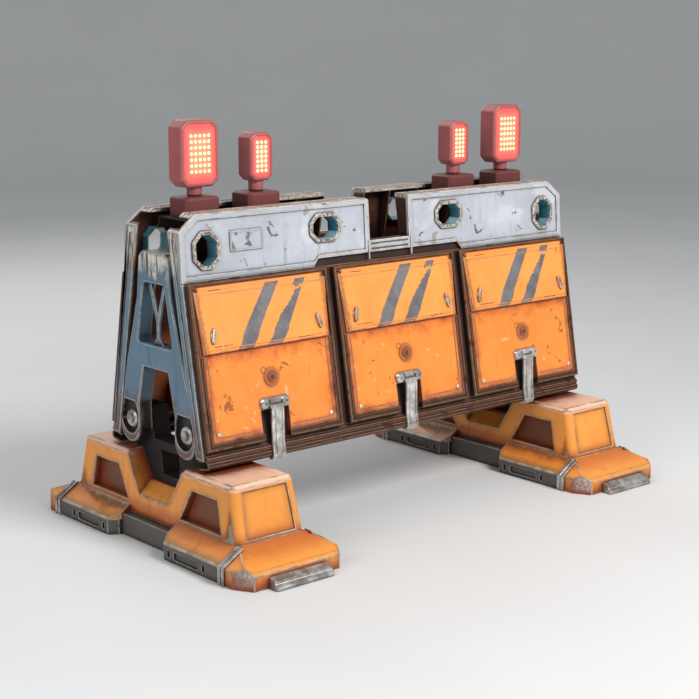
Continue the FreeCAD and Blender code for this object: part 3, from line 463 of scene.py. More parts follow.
# ---------------------------------------------------------------- decoration of the flaps
STRIPES = ((-0.138, 0.745, -0.070, 0.695, False),   # left and right edge at the foot of the
           (-0.010, 0.745, 0.058, 0.630, True))     # flap, lean of each, and whether it is worn
LID_FOOT = 0.341               # flap's lower edge, along the leaning face
LID_TAPER = 0.013              # how much narrower its foot is on each side
FOLDS = (0.012, 0.209)         # heights of the two fold lines above the lower edge
TICKS = ((-0.214, -0.166, 0.545), (-0.231, -0.157, 0.362), (0.129, 0.201, 0.352))
PANEL_HALF = 0.262             # half width of a module's panel
PLUG = 0.235                   # height of its round plug
RING = (-0.030, 0.262)         # ring mark beside the plug


def stripe_paint(shade, base, fine, patch):
    """Two leaning grey stripes, one worn to a spear, ticks, and painted shade along the fold and the sides; places are
    on the flap's map.
    """
    s = shade
    paint = bpy.context.scene.barrier_paint
    across, along = s.face_map()
    up = s.math("SUBTRACT", along, LID_FOOT)
    ragged = s.sway(fine, 0.050)
    total = 0.0
    for left, lean_left, right, lean_right, spear in STRIPES:
        wave = s.math("MULTIPLY", ragged, 0.20)
        here = s.math("ADD", across, wave)
        left = s.math("SUBTRACT", here, s.math("ADD", left, s.math("MULTIPLY", up, lean_left)))
        right = s.math("SUBTRACT", s.math("ADD", right, s.math("MULTIPLY", up, lean_right)), here)
        if spear:
            bite = s.math("ADD", s.math("MULTIPLY", s.ramp(up, 0.07, 0.170), 0.022), ragged)
            low = s.math("MINIMUM", s.math("SUBTRACT", left, bite),
                         s.math("SUBTRACT", 0.176, s.math("ADD", up, ragged)))
            high = s.math("SUBTRACT", s.math("ADD", up, ragged), 0.184)
            left = s.math("MINIMUM", left, s.math("MAXIMUM", low, high))
        inside = s.math("MINIMUM", left, right)
        total = s.math("MAXIMUM", total, s.ramp(inside, 0.0, 0.0016))
    fold = s.math("ABSOLUTE", s.math("SUBTRACT", up, FOLDS[0]))
    total = s.math("MULTIPLY", total, s.ramp(fold, 0.0012, 0.0022))
    total = s.math("MULTIPLY", total, s.ramp(s.math("SUBTRACT", FOLDS[1], up), 0.0, 0.001))
    tone = s.mix(s.ramp(patch, 0.35, 0.65), tuple(0.8 * c for c in paint.stripe),
                 tuple(1.2 * c for c in paint.stripe))
    base = s.mix(s.math("MULTIPLY", total, s.ramp(fine, 0.30, 0.36)), base, tone)
    # Painted shade in the crease of the lower fold.
    ticks_and_shade = s.ramp(fold, 0.0006, 0.0018, 0.55, 0.0)
    for start, end, height in TICKS:
        inside = s.math("MINIMUM", s.math("SUBTRACT", across, start),
                        s.math("SUBTRACT", end, across))
        line = s.math("ABSOLUTE", s.math("SUBTRACT", along, height))
        mark = s.math("MULTIPLY", s.ramp(inside, 0.0, 0.002), s.ramp(line, 0.0022, 0.0010))
        ticks_and_shade = s.math("MAXIMUM", ticks_and_shade, s.math("MULTIPLY", mark, s.ramp(fine, 0.38, 0.46)))
    # Painted shade along the flap's sides.
    side = s.math("SUBTRACT", PANEL_HALF, s.math("ABSOLUTE", across))
    ticks_and_shade = s.math("MAXIMUM", ticks_and_shade, s.ramp(s.math("ADD", side, ragged), 0.0, 0.014, 0.6, 0.0))
    return s.mix(ticks_and_shade, base, tuple(0.6 * d + 0.4 * r for d, r in zip(paint.deep, paint.rust)))


def panel_paint(shade, base, fine, patch):
    """Painted shade along the borders and under the flap, a rusty plug and a ring mark; places are on the panel's own
    map.
    """
    s = shade
    paint = bpy.context.scene.barrier_paint
    across, up = s.face_map()
    wave = s.sway(patch, 0.07)
    scuffs = s.noise(19.0, 5.0, 0.62, distortion=0.7)
    base = s.mix(s.ramp(scuffs, 0.640, 0.665, 0.0, 0.75), base, (0.22, 0.055, 0.014))
    base = s.mix(s.ramp(scuffs, 0.345, 0.320, 0.0, 0.6), base, (0.80, 0.52, 0.30))
    # Painted shade within the module's borders, deepest under the flap, with a rusty line in the joint at the very
    # edge.
    side = s.math("SUBTRACT", PANEL_HALF, s.math("ABSOLUTE", across))
    low = s.math("SUBTRACT", up, 0.052)
    high = s.math("MULTIPLY", s.math("SUBTRACT", 0.345, up), 0.6)
    border = s.math("MINIMUM", s.math("MINIMUM", side, low), high)
    border = s.math("ADD", border, wave)
    base = s.mix(s.ramp(border, -0.005, 0.036, 0.75, 0.0), base, tuple(paint.deep))
    base = s.mix(s.ramp(border, -0.01, 0.008, 0.8, 0.0), base, tuple(paint.rust))

    def ring(x, y, inner, outer, strength, tone):
        """Soft round stain on the panel."""
        a = s.math("SUBTRACT", across, x)
        b = s.math("SUBTRACT", up, y)
        far = s.math("SQRT", s.math("ADD", s.math("MULTIPLY", a, a), s.math("MULTIPLY", b, b)))
        far = s.math("ADD", far, s.sway(fine, 0.012))
        return s.mix(s.ramp(far, inner, outer, strength, 0.0), base, tone)

    stain = tuple(0.5 * d + 0.3 * r for d, r in zip(paint.deep, paint.rust))
    base = ring(0.0, PLUG, 0.020, 0.045, 0.75, stain)
    base = ring(0.0, PLUG, 0.008, 0.018, 0.9, tuple(paint.rust))
    base = ring(*RING, 0.011, 0.014, 0.5, tuple(paint.rust))
    return ring(*RING, 0.006, 0.009, 0.6, tuple(paint.panel))


def board_paint(shade, base, fine, patch):
    """Dirty off-white along the boards' top edge, rusty orange tints on the rims."""
    s = shade
    paint = bpy.context.scene.barrier_paint
    up = s.axes()[2]
    edge = s.math("ADD", up, s.sway(patch, 0.03))
    base = s.mix(s.math("MULTIPLY", s.ramp(patch, 0.5, 0.75), 0.5), base, (0.20, 0.055, 0.02))
    base = s.mix(s.ramp(up, 0.33, 0.37, 0.55, 0.0), base, (0.020, 0.007, 0.003))
    top = s.math("MULTIPLY", s.ramp(edge, 1.098, 1.112), s.ramp(fine, 0.35, 0.5))
    return s.mix(top, base, tuple(0.8 * c for c in paint.rim))


def channel_paint(shade, base, fine, patch):
    """Edge channels: off-white beside the top plates, rusty brown at the foot, painted shade in the hub pockets."""
    s = shade
    paint = bpy.context.scene.barrier_paint
    up = s.axes()[2]
    edge = s.math("ADD", up, s.sway(patch, 0.25))
    streak = s.noise(1.0, 4.0, 0.6, vector=s.stretched((60.0, 60.0, 6.0)))
    brown = s.mix(streak, tuple(paint.rust), (0.16, 0.06, 0.03))
    base = s.mix(s.ramp(edge, 0.42, 0.52, 0.9, 0.0), base, brown)
    white = s.mix(s.ramp(streak, 0.45, 0.6), tuple(paint.rim), brown)
    base = s.mix(s.ramp(edge, 0.90, 0.96), base, white)
    # Painted shade: near-black in the hub pockets of the end frames.
    along = s.math("ABSOLUTE", s.axes()[0])
    pocket_shade = s.math("MULTIPLY", s.ramp(along, 0.889, 0.883), s.ramp(up, 0.475, 0.460))
    return s.mix(pocket_shade, base, (0.018, 0.010, 0.008))


def foot_paint(shade, base, fine, patch):
    """Painted light on the tops, painted shade along the edges and in the windows, a darker band low down, and bare
    metal on the bumpers' cut corners.
    """
    s = shade
    paint = bpy.context.scene.barrier_paint
    along, out, up = s.axes()
    off = s.math("ABSOLUTE", s.math("SUBTRACT", s.math("ABSOLUTE", along), FOOT_X))
    far = s.math("ABSOLUTE", out)
    wave = s.sway(patch, 0.03)
    # Painted shade: darker orange-brown within about 50 mm of the feet's edges.
    band = s.math("ADD", s.edges(0.050), s.sway(patch, 0.22))
    base = s.mix(s.math("MULTIPLY", s.ramp(band, 0.05, 0.20), 0.70), base, (0.30, 0.135, 0.035))
    # Painted light: the tops of the feet turn pale where the light falls on them.
    pale = s.ramp(s.math("ADD", up, wave), TOWER_TOP, TOWER_TOP + 0.010)
    base = s.mix(s.math("MULTIPLY", pale, 0.92), base, (0.92, 0.56, 0.40))
    low = s.math("MULTIPLY", s.ramp(s.math("ADD", up, wave), 0.150, 0.104),
                 s.ramp(s.math("ADD", up, wave), 0.060, 0.100))
    base = s.mix(s.math("MULTIPLY", low, 0.6), base, tuple(paint.deep))
    # Painted shade: near-black in the recessed windows of the feet.
    inside = s.math("MULTIPLY", s.ramp(off, 0.122, 0.108), s.ramp(up, 0.100, 0.112))
    inside = s.math("MULTIPLY", inside, s.ramp(up, 0.240, 0.228))
    window = s.math("MULTIPLY", s.ramp(far, 0.150, 0.160), s.ramp(far, 0.392, 0.382))
    inside = s.math("MULTIPLY", inside, window)
    base = s.mix(s.math("MULTIPLY", inside, 0.9), base, (0.060, 0.013, 0.004))
    corner = s.math("ADD", s.math("DIVIDE", s.math("SUBTRACT", off, 0.172), 0.037),
                    s.math("DIVIDE", s.math("SUBTRACT", far, 0.548), 0.062))
    bare = s.mix(s.ramp(fine, 0.4, 0.6), (0.30, 0.26, 0.23), (0.62, 0.60, 0.58))
    return s.mix(s.ramp(s.math("ADD", corner, wave), 0.93, 0.97), base, bare)


def plate_paint(shade, base, fine, patch):
    """Scattered brown scuffs and paler rubbed patches."""
    s = shade
    rubbed = s.noise(5.5, 5.0, 0.6)
    base = s.mix(s.ramp(rubbed, 0.55, 0.66, 0.0, 0.5), base, (0.66, 0.67, 0.70))
    scuffs = s.noise(15.0, 5.0, 0.62, distortion=0.6)
    base = s.mix(s.ramp(scuffs, 0.655, 0.675, 0.0, 0.85), base, (0.085, 0.055, 0.040))
    return s.mix(s.ramp(scuffs, 0.345, 0.325, 0.0, 0.6), base, (0.22, 0.17, 0.14))


def sleeve_paint(shade, base, fine, patch):
    """Worn metal collars in front of the teal linings, with painted shade deep inside the openings."""
    s = shade
    along, out, up = s.axes()
    slope = (BEND[0] - TOP[0]) / (TOP[1] - BEND[1])
    lean = s.math("MULTIPLY", s.math("SUBTRACT", up, BEND[1]), slope)
    depth = s.math("ADD", s.math("SUBTRACT", s.math("ABSOLUTE", out), BEND[0]), lean)
    metal = s.mix(s.ramp(fine, 0.42, 0.58), (0.10, 0.07, 0.05), (0.55, 0.52, 0.46))
    # Painted shade: near-black deep inside the openings.
    base = s.mix(s.ramp(depth, -0.058, -0.040), (0.006, 0.007, 0.008), base)
    return s.mix(s.ramp(depth, -0.008, -0.006), base, metal)


def build_materials():
    p = bpy.context.scene.barrier_paint
    lamps = bpy.context.scene.barrier_lamps
    bare = tuple(p.rim)
    rust = tuple(p.rust)
    deep = tuple(p.deep)
    return {
        "flap_orange": worn_paint(
            "flap orange paint", tuple(p.flap), deep, bare=(0.80, 0.45, 0.20), rust=rust,
            edge_radius=0.009, wear=0.75, corner_shade=0.6, chips=0.12, runs=0.12, gloss=0.40,
            reach=0.03, decorate=stripe_paint),
        "panel_orange": worn_paint(
            "panel orange paint", tuple(p.panel), deep, bare=(0.62, 0.40, 0.24), rust=rust,
            edge_radius=0.009, wear=0.7, corner_shade=0.9, chips=0.55, runs=0.35, gloss=0.42, reach=0.07,
            decorate=panel_paint),
        "plate_white": worn_paint(
            "plate grey-white paint", tuple(p.plate), (0.10, 0.075, 0.06), bare=bare,
            rust=(0.085, 0.045, 0.025), edge_radius=0.014, wear=1.0, corner_shade=0.9, chips=0.30,
            runs=0.3, gloss=0.36, reach=0.03, decorate=plate_paint),
        "frame_brown": worn_paint(
            "module frame brown", tuple(p.frame), (0.012, 0.007, 0.006),
            bare=(0.34, 0.155, 0.060), rust=(0.12, 0.035, 0.012), edge_radius=0.007, wear=0.45,
            corner_shade=0.9, chips=0.4, runs=0.5, gloss=0.42, reach=0.05, decorate=board_paint),
        "frame_blue": worn_paint(
            "end frame blue paint", tuple(p.blue), (0.015, 0.02, 0.03), bare=(0.62, 0.62, 0.58),
            rust=(0.07, 0.035, 0.02), edge_radius=0.017, wear=1.0, corner_shade=0.9, chips=0.35,
            runs=0.5, gloss=0.36, reach=0.06, decorate=channel_paint),
        "foot_orange": worn_paint(
            "foot orange paint", tuple(p.foot), (0.30, 0.05, 0.012), bare=(0.56, 0.44, 0.30),
            rust=(0.13, 0.055, 0.020), edge_radius=0.020, wear=1.0, corner_shade=1.0, chips=0.4,
            runs=0.35, gloss=0.38, reach=0.12, decorate=foot_paint),
        "skid_grey": worn_paint(
            "skid scuffed grey", tuple(p.skid), (0.012, 0.010, 0.009), bare=(0.46, 0.42, 0.38),
            rust=(0.08, 0.045, 0.025), edge_radius=0.009, wear=1.0, corner_shade=0.8, chips=0.8,
            runs=0.3, gloss=0.5, reach=0.03),
        "sleeve_teal": worn_paint(
            "sleeve teal paint", tuple(p.teal), (0.01, 0.02, 0.025), bare=(0.60, 0.56, 0.50),
            rust=(0.05, 0.03, 0.02), edge_radius=0.006, wear=1.0, corner_shade=0.8, chips=0.2, runs=0.2,
            gloss=0.35, reach=0.03, decorate=sleeve_paint),
        # Near-black steel: its own dark paint, darkened further as painted shade for the parts deep between the legs.
        "dark_steel": worn_paint(
            "dark steel", (0.011, 0.007, 0.006), (0.004, 0.003, 0.003), bare=(0.08, 0.055, 0.04),
            rust=(0.03, 0.012, 0.007), edge_radius=0.006, wear=0.4, corner_shade=0.8, chips=0.5,
            runs=0.3, gloss=0.70, reach=0.05),
        "bare_steel": bare_metal("bare steel", (0.66, 0.64, 0.61), (0.26, 0.22, 0.19), rough=0.36),
        "bolt_zinc": bare_metal(
            "bolt zinc", (0.92, 0.89, 0.86), (0.66, 0.60, 0.55), rough=0.36, corner_shade=0.2, shine=0.3),
        "latch_chrome": bare_metal(
            "latch chrome", (0.90, 0.88, 0.85), (0.40, 0.36, 0.33), rough=0.22),
        "button_zinc": bare_metal(
            "button zinc", (0.86, 0.74, 0.60), (0.45, 0.30, 0.18), rough=0.32),
        "lamp_pink": moulded_plastic("lamp housing plastic", tuple(p.lamp), (0.12, 0.03, 0.035)),
        "lamp_base_red": moulded_plastic(
            "lamp base plastic", tuple(p.lamp_base), (0.03, 0.012, 0.012), rough=0.5),
        "battery_black": moulded_plastic(
            "battery case", (0.03, 0.03, 0.03), (0.01, 0.01, 0.01), rough=0.5),
        "lens_red": lit_lens(
            "lens red glow", (1.0, 0.22, 0.13), (0.92, 0.08, 0.075), glow=0.62 * lamps.glow),
        "diode": lit_diode("diode glow", (1.0, 0.66, 0.30), glow=1.6 * lamps.glow),
    }


MATERIALS = {}


def material(slot):
    if not MATERIALS:
        MATERIALS.update(build_materials())
    return MATERIALS[slot]


# ---------------------------------------------------------------- meshes
def plain_mesh(piece):
    """Turns a piece and its modifiers into one plain mesh."""
    graph = bpy.context.evaluated_depsgraph_get()
    mesh = bpy.data.meshes.new_from_object(piece.evaluated_get(graph), depsgraph=graph)
    piece.modifiers.clear()
    old = piece.data
    piece.data = mesh
    bpy.data.meshes.remove(old)
    return piece


def linked(name, mesh):
    piece = bpy.data.objects.new(name, mesh)
    bpy.context.scene.collection.objects.link(piece)
    return piece


def edge_room(weld, width, angle):
    """Bevel weight of each sharp edge: less than 1 where another sharp edge is near."""
    layer = weld.edges.layers.float.new("bevel_weight_edge")
    sharp = [e for e in weld.edges if len(e.link_faces) == 2 and e.calc_face_angle(0.0) > angle]
    room, step = 2.3 * width, 2.5 * width
    points, owners = [], []
    for edge in sharp:
        start, end = edge.verts[0].co, edge.verts[1].co
        count = max(2, int((end - start).length / step) + 1)
        for k in range(count + 1):
            points.append(start.lerp(end, k / count))
            owners.append(edge)
    tree = KDTree(len(points))
    for index, point in enumerate(points):
        tree.insert(point, index)
    tree.balance()
    weights = {edge: 1.0 if edge.is_convex else 0.0 for edge in sharp}
    for point, edge in zip(points, owners):
        seen = {edge}
        for _, index, _ in tree.find_range(point, room + step / 2):
            other = owners[index]
            if other in seen:
                continue
            seen.add(other)
            if set(edge.verts) & set(other.verts):
                continue
            start, end = other.verts[0].co, other.verts[1].co
            near, share = intersect_point_line(point, start, end)
            near = start if share < 0.0 else end if share > 1.0 else near
            weights[edge] = min(weights[edge], (near - point).length / room)
    for edge, weight in weights.items():
        edge[layer] = weight


def refill(shape, face):
    """Fills a face anew with triangles that stay inside its outline."""
    corners, normal = list(face.verts), face.normal.copy()
    right = normal.orthogonal().normalized()
    up = normal.cross(right)
    middle = face.calc_center_median()
    flat = [Vector(((corner.co - middle).dot(right), (corner.co - middle).dot(up)))
            for corner in corners]
    pairs = [(index, (index + 1) % len(corners)) for index in range(len(corners))]
    points, _, triangles, origins, _, _ = delaunay_2d_cdt(flat, pairs, [], 1, 1e-8)
    chosen = []
    names = [origin[0] if origin else
             min(range(len(flat)), key=lambda index: (flat[index] - point).length)
             for point, origin in zip(points, origins)]
    for triangle in triangles:
        a, b, c = (points[index] for index in triangle)
        x, y = (a.x + b.x + c.x) / 3, (a.y + b.y + c.y) / 3
        inside = False
        for start, end in pairs:
            p, q = flat[start], flat[end]
            if (p.y > y) != (q.y > y) and x < p.x + (y - p.y) / (q.y - p.y) * (q.x - p.x):
                inside = not inside
        trio = [corners[names[index]] for index in triangle]
        if inside and len(set(trio)) == 3:
            chosen.append(trio)
    slot = face.material_index
    bmesh.ops.delete(shape, geom=[face], context="FACES_ONLY")
    for triangle in chosen:
        made = shape.faces.new(triangle)
        made.material_index = slot
        made.smooth = True


FOLD_EXCESS = 0.0003           # square metres that a face may cover beyond its own size


def mend_folds(piece):
    """Refills the faces that fold over themselves when they are cut into triangles."""
    shape = bmesh.new()
    shape.from_mesh(piece.data)
    shape.normal_update()
    covered = {}
    for a, b, c in shape.calc_loop_triangles():
        size = (b.vert.co - a.vert.co).cross(c.vert.co - a.vert.co).length / 2
        covered[a.face] = covered.get(a.face, 0.0) + size
    for face, size in covered.items():
        if len(face.verts) > 4 and size > face.calc_area() + FOLD_EXCESS:
            refill(shape, face)
    gaps = [edge for edge in shape.edges if edge.is_boundary]
    bmesh.ops.holes_fill(shape, edges=gaps, sides=0)
    shape.to_mesh(piece.data)
    shape.free()


def softened(node, width, segments=2, angle=32.0):
    """Welded copy of a CAD node with rounded edges, which stands for it."""
    mesh = frame["nodes"][node].data.copy()
    mesh.name = node + "_finish"
    weld = bmesh.new()
    weld.from_mesh(mesh)
    bmesh.ops.remove_doubles(weld, verts=weld.verts, dist=2e-6)
    bmesh.ops.dissolve_limit(weld, angle_limit=math.radians(0.6), use_dissolve_boundaries=False,
                             verts=weld.verts, edges=weld.edges)
    edge_room(weld, width, math.radians(angle))
    weld.to_mesh(mesh)
    weld.free()
    piece = linked(node + "_finish", mesh)
    mesh.materials.clear()
    for slot in ("main", "worn"):
        mesh.materials.append(material(SLOT_OF[node]))
    mesh.polygons.foreach_set("use_smooth", [True] * len(mesh.polygons))
    mesh.polygons.foreach_set("material_index", [0] * len(mesh.polygons))
    rounding = piece.modifiers.new("rounded edges", "BEVEL")
    rounding.width = width
    rounding.segments = segments
    rounding.limit_method = "WEIGHT"
    rounding.use_clamp_overlap = False
    rounding.loop_slide = False
    rounding.material = 1
    plain_mesh(piece)
    mend_folds(piece)
    piece.data.set_sharp_from_angle(angle=math.radians(34))
    flat = piece.modifiers.new("flat faces", "WEIGHTED_NORMAL")
    flat.keep_sharp = True
    flat.weight = 90
    plain_mesh(piece)
    worn = piece.data.attributes.new("worn", "FLOAT", "CORNER")
    for face in piece.data.polygons:
        for corner in face.loop_indices:
            worn.data[corner].value = float(face.material_index)
    piece.data.polygons.foreach_set("material_index", [0] * len(piece.data.polygons))
    finish_mesh(piece, node)
    return piece


def finish_mesh(piece, node):
    """Material, body and slot of a piece that stands for a CAD node."""
    piece.data.materials.clear()
    piece.data.materials.append(material(SLOT_OF[node]))
    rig.ride(piece, BODY_OF[node])
    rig.slot(piece, SLOT_OF[node])
    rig.replaces(piece, node)


def dressed(node, finish=None):
    """A CAD node that keeps its mesh and takes its finish."""
    part = frame["nodes"][node]
    part.data.materials.clear()
    part.data.materials.append(material(finish or SLOT_OF[node]))
    return part


def map_face(piece, origin, right, up, size=(1.0, 1.0)):
    """UV map of a piece: distance from an origin along two directions, over a size."""
    layer = piece.data.uv_layers.new(name="face")
    for loop in piece.data.loops:
        offset = piece.data.vertices[loop.vertex_index].co - origin
        layer.data[loop.index].uv = (offset.dot(right) / size[0], offset.dot(up) / size[1])


def map_module(piece, node, sign):
    """Map of a module's piece: across the board and up its leaning face."""
    middle = (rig.box(node)[0].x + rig.box(node)[1].x) / 2
    map_face(piece, Vector((middle, -sign * HEEL[0], HEEL[1])), Vector((sign, 0.0, 0.0)),
             Vector((0.0, sign * math.sin(LEAN), math.cos(LEAN))))


# ---------------------------------------------------------------- operators
class BarrierPiece(bpy.types.Operator):
    bl_options = {"REGISTER"}


class BARRIER_OT_boards(BarrierPiece):
    """Round the edges of both board frames"""
    bl_idname = "barrier.boards"
    bl_label = "Boards"

    def execute(self, context):
        for side in SIDES:
            softened(side + "_board", 0.0016)
        return {"FINISHED"}


class BARRIER_OT_top_plates(BarrierPiece):
    """Top plates, their hand openings and the channels on the boards' ends"""
    bl_idname = "barrier.top_plates"
    bl_label = "Top plates"

    def execute(self, context):
        for side in SIDES:
            softened(side + "_top_plate", 0.0022)
        softened("opening_sleeves", 0.0012)
        softened("edge_channels", 0.0018)
        return {"FINISHED"}


class BARRIER_OT_modules(BarrierPiece):
    """The six orange modules"""
    bl_idname = "barrier.modules"
    bl_label = "Modules"

    def execute(self, context):
        for side, sign in zip(SIDES, (1.0, -1.0)):
            for place in PLACES:
                node = "%s_cassette_%s" % (side, place)
                map_module(softened(node, 0.0009), node, sign)
        dressed("corner_bolts", "bolt_zinc")
        dressed("hinge_rods")
        return {"FINISHED"}


class BARRIER_OT_flaps(BarrierPiece):
    """The six flaps with their warning stripes"""
    bl_idname = "barrier.flaps"
    bl_label = "Flaps"

    def execute(self, context):
        for side, sign in zip(SIDES, (1.0, -1.0)):
            for place in PLACES:
                node = "%s_flap_%s" % (side, place)
                piece = softened(node, 0.0012)
                map_module(piece, node, sign)
                self.taper(piece, node)
        return {"FINISHED"}

    def taper(self, piece, node):
        """Draw the flap's sides in towards its foot."""
        low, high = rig.box(node)
        middle, half = (low.x + high.x) / 2, (high.x - low.x) / 2
        for vertex in piece.data.vertices:
            off = vertex.co.x - middle
            if abs(off) > half - 0.024:
                share = (high.z - vertex.co.z) / (high.z - low.z)
                vertex.co.x -= math.copysign(LID_TAPER * share, off)


class BARRIER_OT_fittings(BarrierPiece):
    """Turn-buttons, latch plates and latch straps"""
    bl_idname = "barrier.fittings"
    bl_label = "Buttons and latches"

    def execute(self, context):
        for side in SIDES:
            for place in PLACES:
                for hand in "ab":
                    softened("%s_button_%s_%s" % (side, place, hand), 0.0006)
                softened("%s_latch_%s" % (side, place), 0.0010)
        dressed("latch_plates")
        return {"FINISHED"}


class BARRIER_OT_end_frames(BarrierPiece):
    """End frames, hub bolts and the saddles behind them"""
    bl_idname = "barrier.end_frames"
    bl_label = "End frames"

    def execute(self, context):
        for place in ("left", "right"):
            softened("end_frame_" + place, 0.0015)
        softened("saddles", 0.0015)
        dressed("hub_bolts")
        return {"FINISHED"}


class BARRIER_OT_feet(BarrierPiece):
    """Feet, skids, bands and toe plates"""
    bl_idname = "barrier.feet"
    bl_label = "Feet"

    def execute(self, context):
        for place in ("left", "right"):
            softened("foot_" + place, 0.0030)
            softened("skid_" + place, 0.0020)
        softened("foot_bands", 0.0010)
        toes = softened("toe_plates", 0.0020)
        toes.data.materials[0] = material("bare_steel")
        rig.slot(toes, "bare_steel")
        return {"FINISHED"}


def diode_tree():
    """Geometry Nodes tree: a grid of flattened domes on the XZ plane."""
    tree = bpy.data.node_groups.new("diode grid", "GeometryNodeTree")
    face = tree.interface
    for name, kind in (("Columns", "NodeSocketInt"), ("Rows", "NodeSocketInt"),
                       ("Pitch Across", "NodeSocketFloat"), ("Pitch Down", "NodeSocketFloat"),
                       ("Radius", "NodeSocketFloat"), ("Centre", "NodeSocketVector"),
                       ("Material", "NodeSocketMaterial")):
        face.new_socket(name=name, in_out="INPUT", socket_type=kind)
    face.new_socket(name="Geometry", in_out="OUTPUT", socket_type="NodeSocketGeometry")
    nodes, links = tree.nodes, tree.links
    source = nodes.new("NodeGroupInput")
    result = nodes.new("NodeGroupOutput")

    def span(count, pitch):
        """Length of a row of that many diodes."""
        less = nodes.new("ShaderNodeMath")
        less.operation = "SUBTRACT"
        less.inputs[1].default_value = 1.0
        links.new(source.outputs[count], less.inputs[0])
        times = nodes.new("ShaderNodeMath")
        times.operation = "MULTIPLY"
        links.new(less.outputs[0], times.inputs[0])
        links.new(source.outputs[pitch], times.inputs[1])
        return times.outputs[0]

    grid = nodes.new("GeometryNodeMeshGrid")
    links.new(span("Columns", "Pitch Across"), grid.inputs["Size X"])
    links.new(span("Rows", "Pitch Down"), grid.inputs["Size Y"])
    links.new(source.outputs["Columns"], grid.inputs["Vertices X"])
    links.new(source.outputs["Rows"], grid.inputs["Vertices Y"])
    dome = nodes.new("GeometryNodeMeshUVSphere")
    dome.inputs["Segments"].default_value = 12
    dome.inputs["Rings"].default_value = 7
    links.new(source.outputs["Radius"], dome.inputs["Radius"])
    flat = nodes.new("GeometryNodeTransform")
    flat.inputs["Scale"].default_value = (1.0, 1.0, 0.55)
    links.new(dome.outputs["Mesh"], flat.inputs["Geometry"])
    spread = nodes.new("GeometryNodeInstanceOnPoints")
    links.new(grid.outputs["Mesh"], spread.inputs["Points"])
    links.new(flat.outputs["Geometry"], spread.inputs["Instance"])
    stand = nodes.new("GeometryNodeTransform")
    stand.inputs["Rotation"].default_value = (math.radians(90), 0.0, 0.0)
    links.new(source.outputs["Centre"], stand.inputs["Translation"])
    links.new(spread.outputs["Instances"], stand.inputs["Geometry"])
    real = nodes.new("GeometryNodeRealizeInstances")
    links.new(stand.outputs["Geometry"], real.inputs["Geometry"])
    paint = nodes.new("GeometryNodeSetMaterial")
    links.new(real.outputs["Geometry"], paint.inputs["Geometry"])
    links.new(source.outputs["Material"], paint.inputs["Material"])
    links.new(paint.outputs["Geometry"], result.inputs["Geometry"])
    return tree


def grown(name, tree, values):
    """Plain mesh piece from a Geometry Nodes tree and its named inputs."""
    piece = linked(name, bpy.data.meshes.new(name))
    growth = piece.modifiers.new("growth", "NODES")
    growth.node_group = tree
    names = {item.name: item.identifier for item in tree.interface.items_tree
             if item.in_out == "INPUT"}
    for key, value in values.items():
        growth[names[key]] = value
    plain_mesh(piece)
    piece.data.polygons.foreach_set("use_smooth", [True] * len(piece.data.polygons))
    return piece


class BARRIER_OT_lamps(BarrierPiece):
    """Lamp bases, housings, lit lenses and their grids of diodes"""
    bl_idname = "barrier.lamps"
    bl_label = "Lamps"

    def execute(self, context):
        look = context.scene.barrier_lamps
        tree = diode_tree()
        for number in LAMPS:
            softened("lamp_head_%d" % number, 0.0040, segments=3, angle=20.0)
            lens = softened("lens_%d" % number, 0.0015)
            low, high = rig.box("lens_%d" % number)
            middle = (low + high) / 2
            half = ((high.x - low.x) / 2, (high.z - low.z) / 2)
            map_face(lens, middle, Vector((1, 0, 0)), Vector((0, 0, 1)), half)
            big = high.x - low.x > 0.1
            columns = look.big_columns if big else look.small_columns
            pitch_z = look.pitch_z if big else look.small_pitch_z
            diodes = grown("diodes_%d" % number, tree, {
                "Columns": columns, "Rows": look.rows, "Pitch Across": look.pitch_x,
                "Pitch Down": pitch_z, "Radius": look.radius,
                "Centre": (middle.x, low.y, middle.z), "Material": material("diode")})
            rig.ride(diodes, "lamp_%d" % number)
            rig.slot(diodes, "lens_red")
        softened("lamp_bases", 0.0020)
        dressed("lamp_trays")
        dressed("batteries")
        return {"FINISHED"}


FLOOR_REACH, RIM_BEND, RIM_TOP = 12.0, 5.0, 9.0    # flat radius, curved rim and its top
CAMERA_PLACE = (-3.769, -4.313, 1.723)
CAMERA_PITCH, CAMERA_YAW, CAMERA_LENS = -11.657, -40.79, 81.81
LIGHTS = (("key light", (0.6, -5.2, 4.6), 2.6, "key", 1.0),
          ("fill light", (-5.8, -1.0, 3.2), 3.5, "fill", 1.0),
          ("back light", (1.0, 5.2, 4.6), 4.0, "fill", 1.2))    # place, size, setting, share


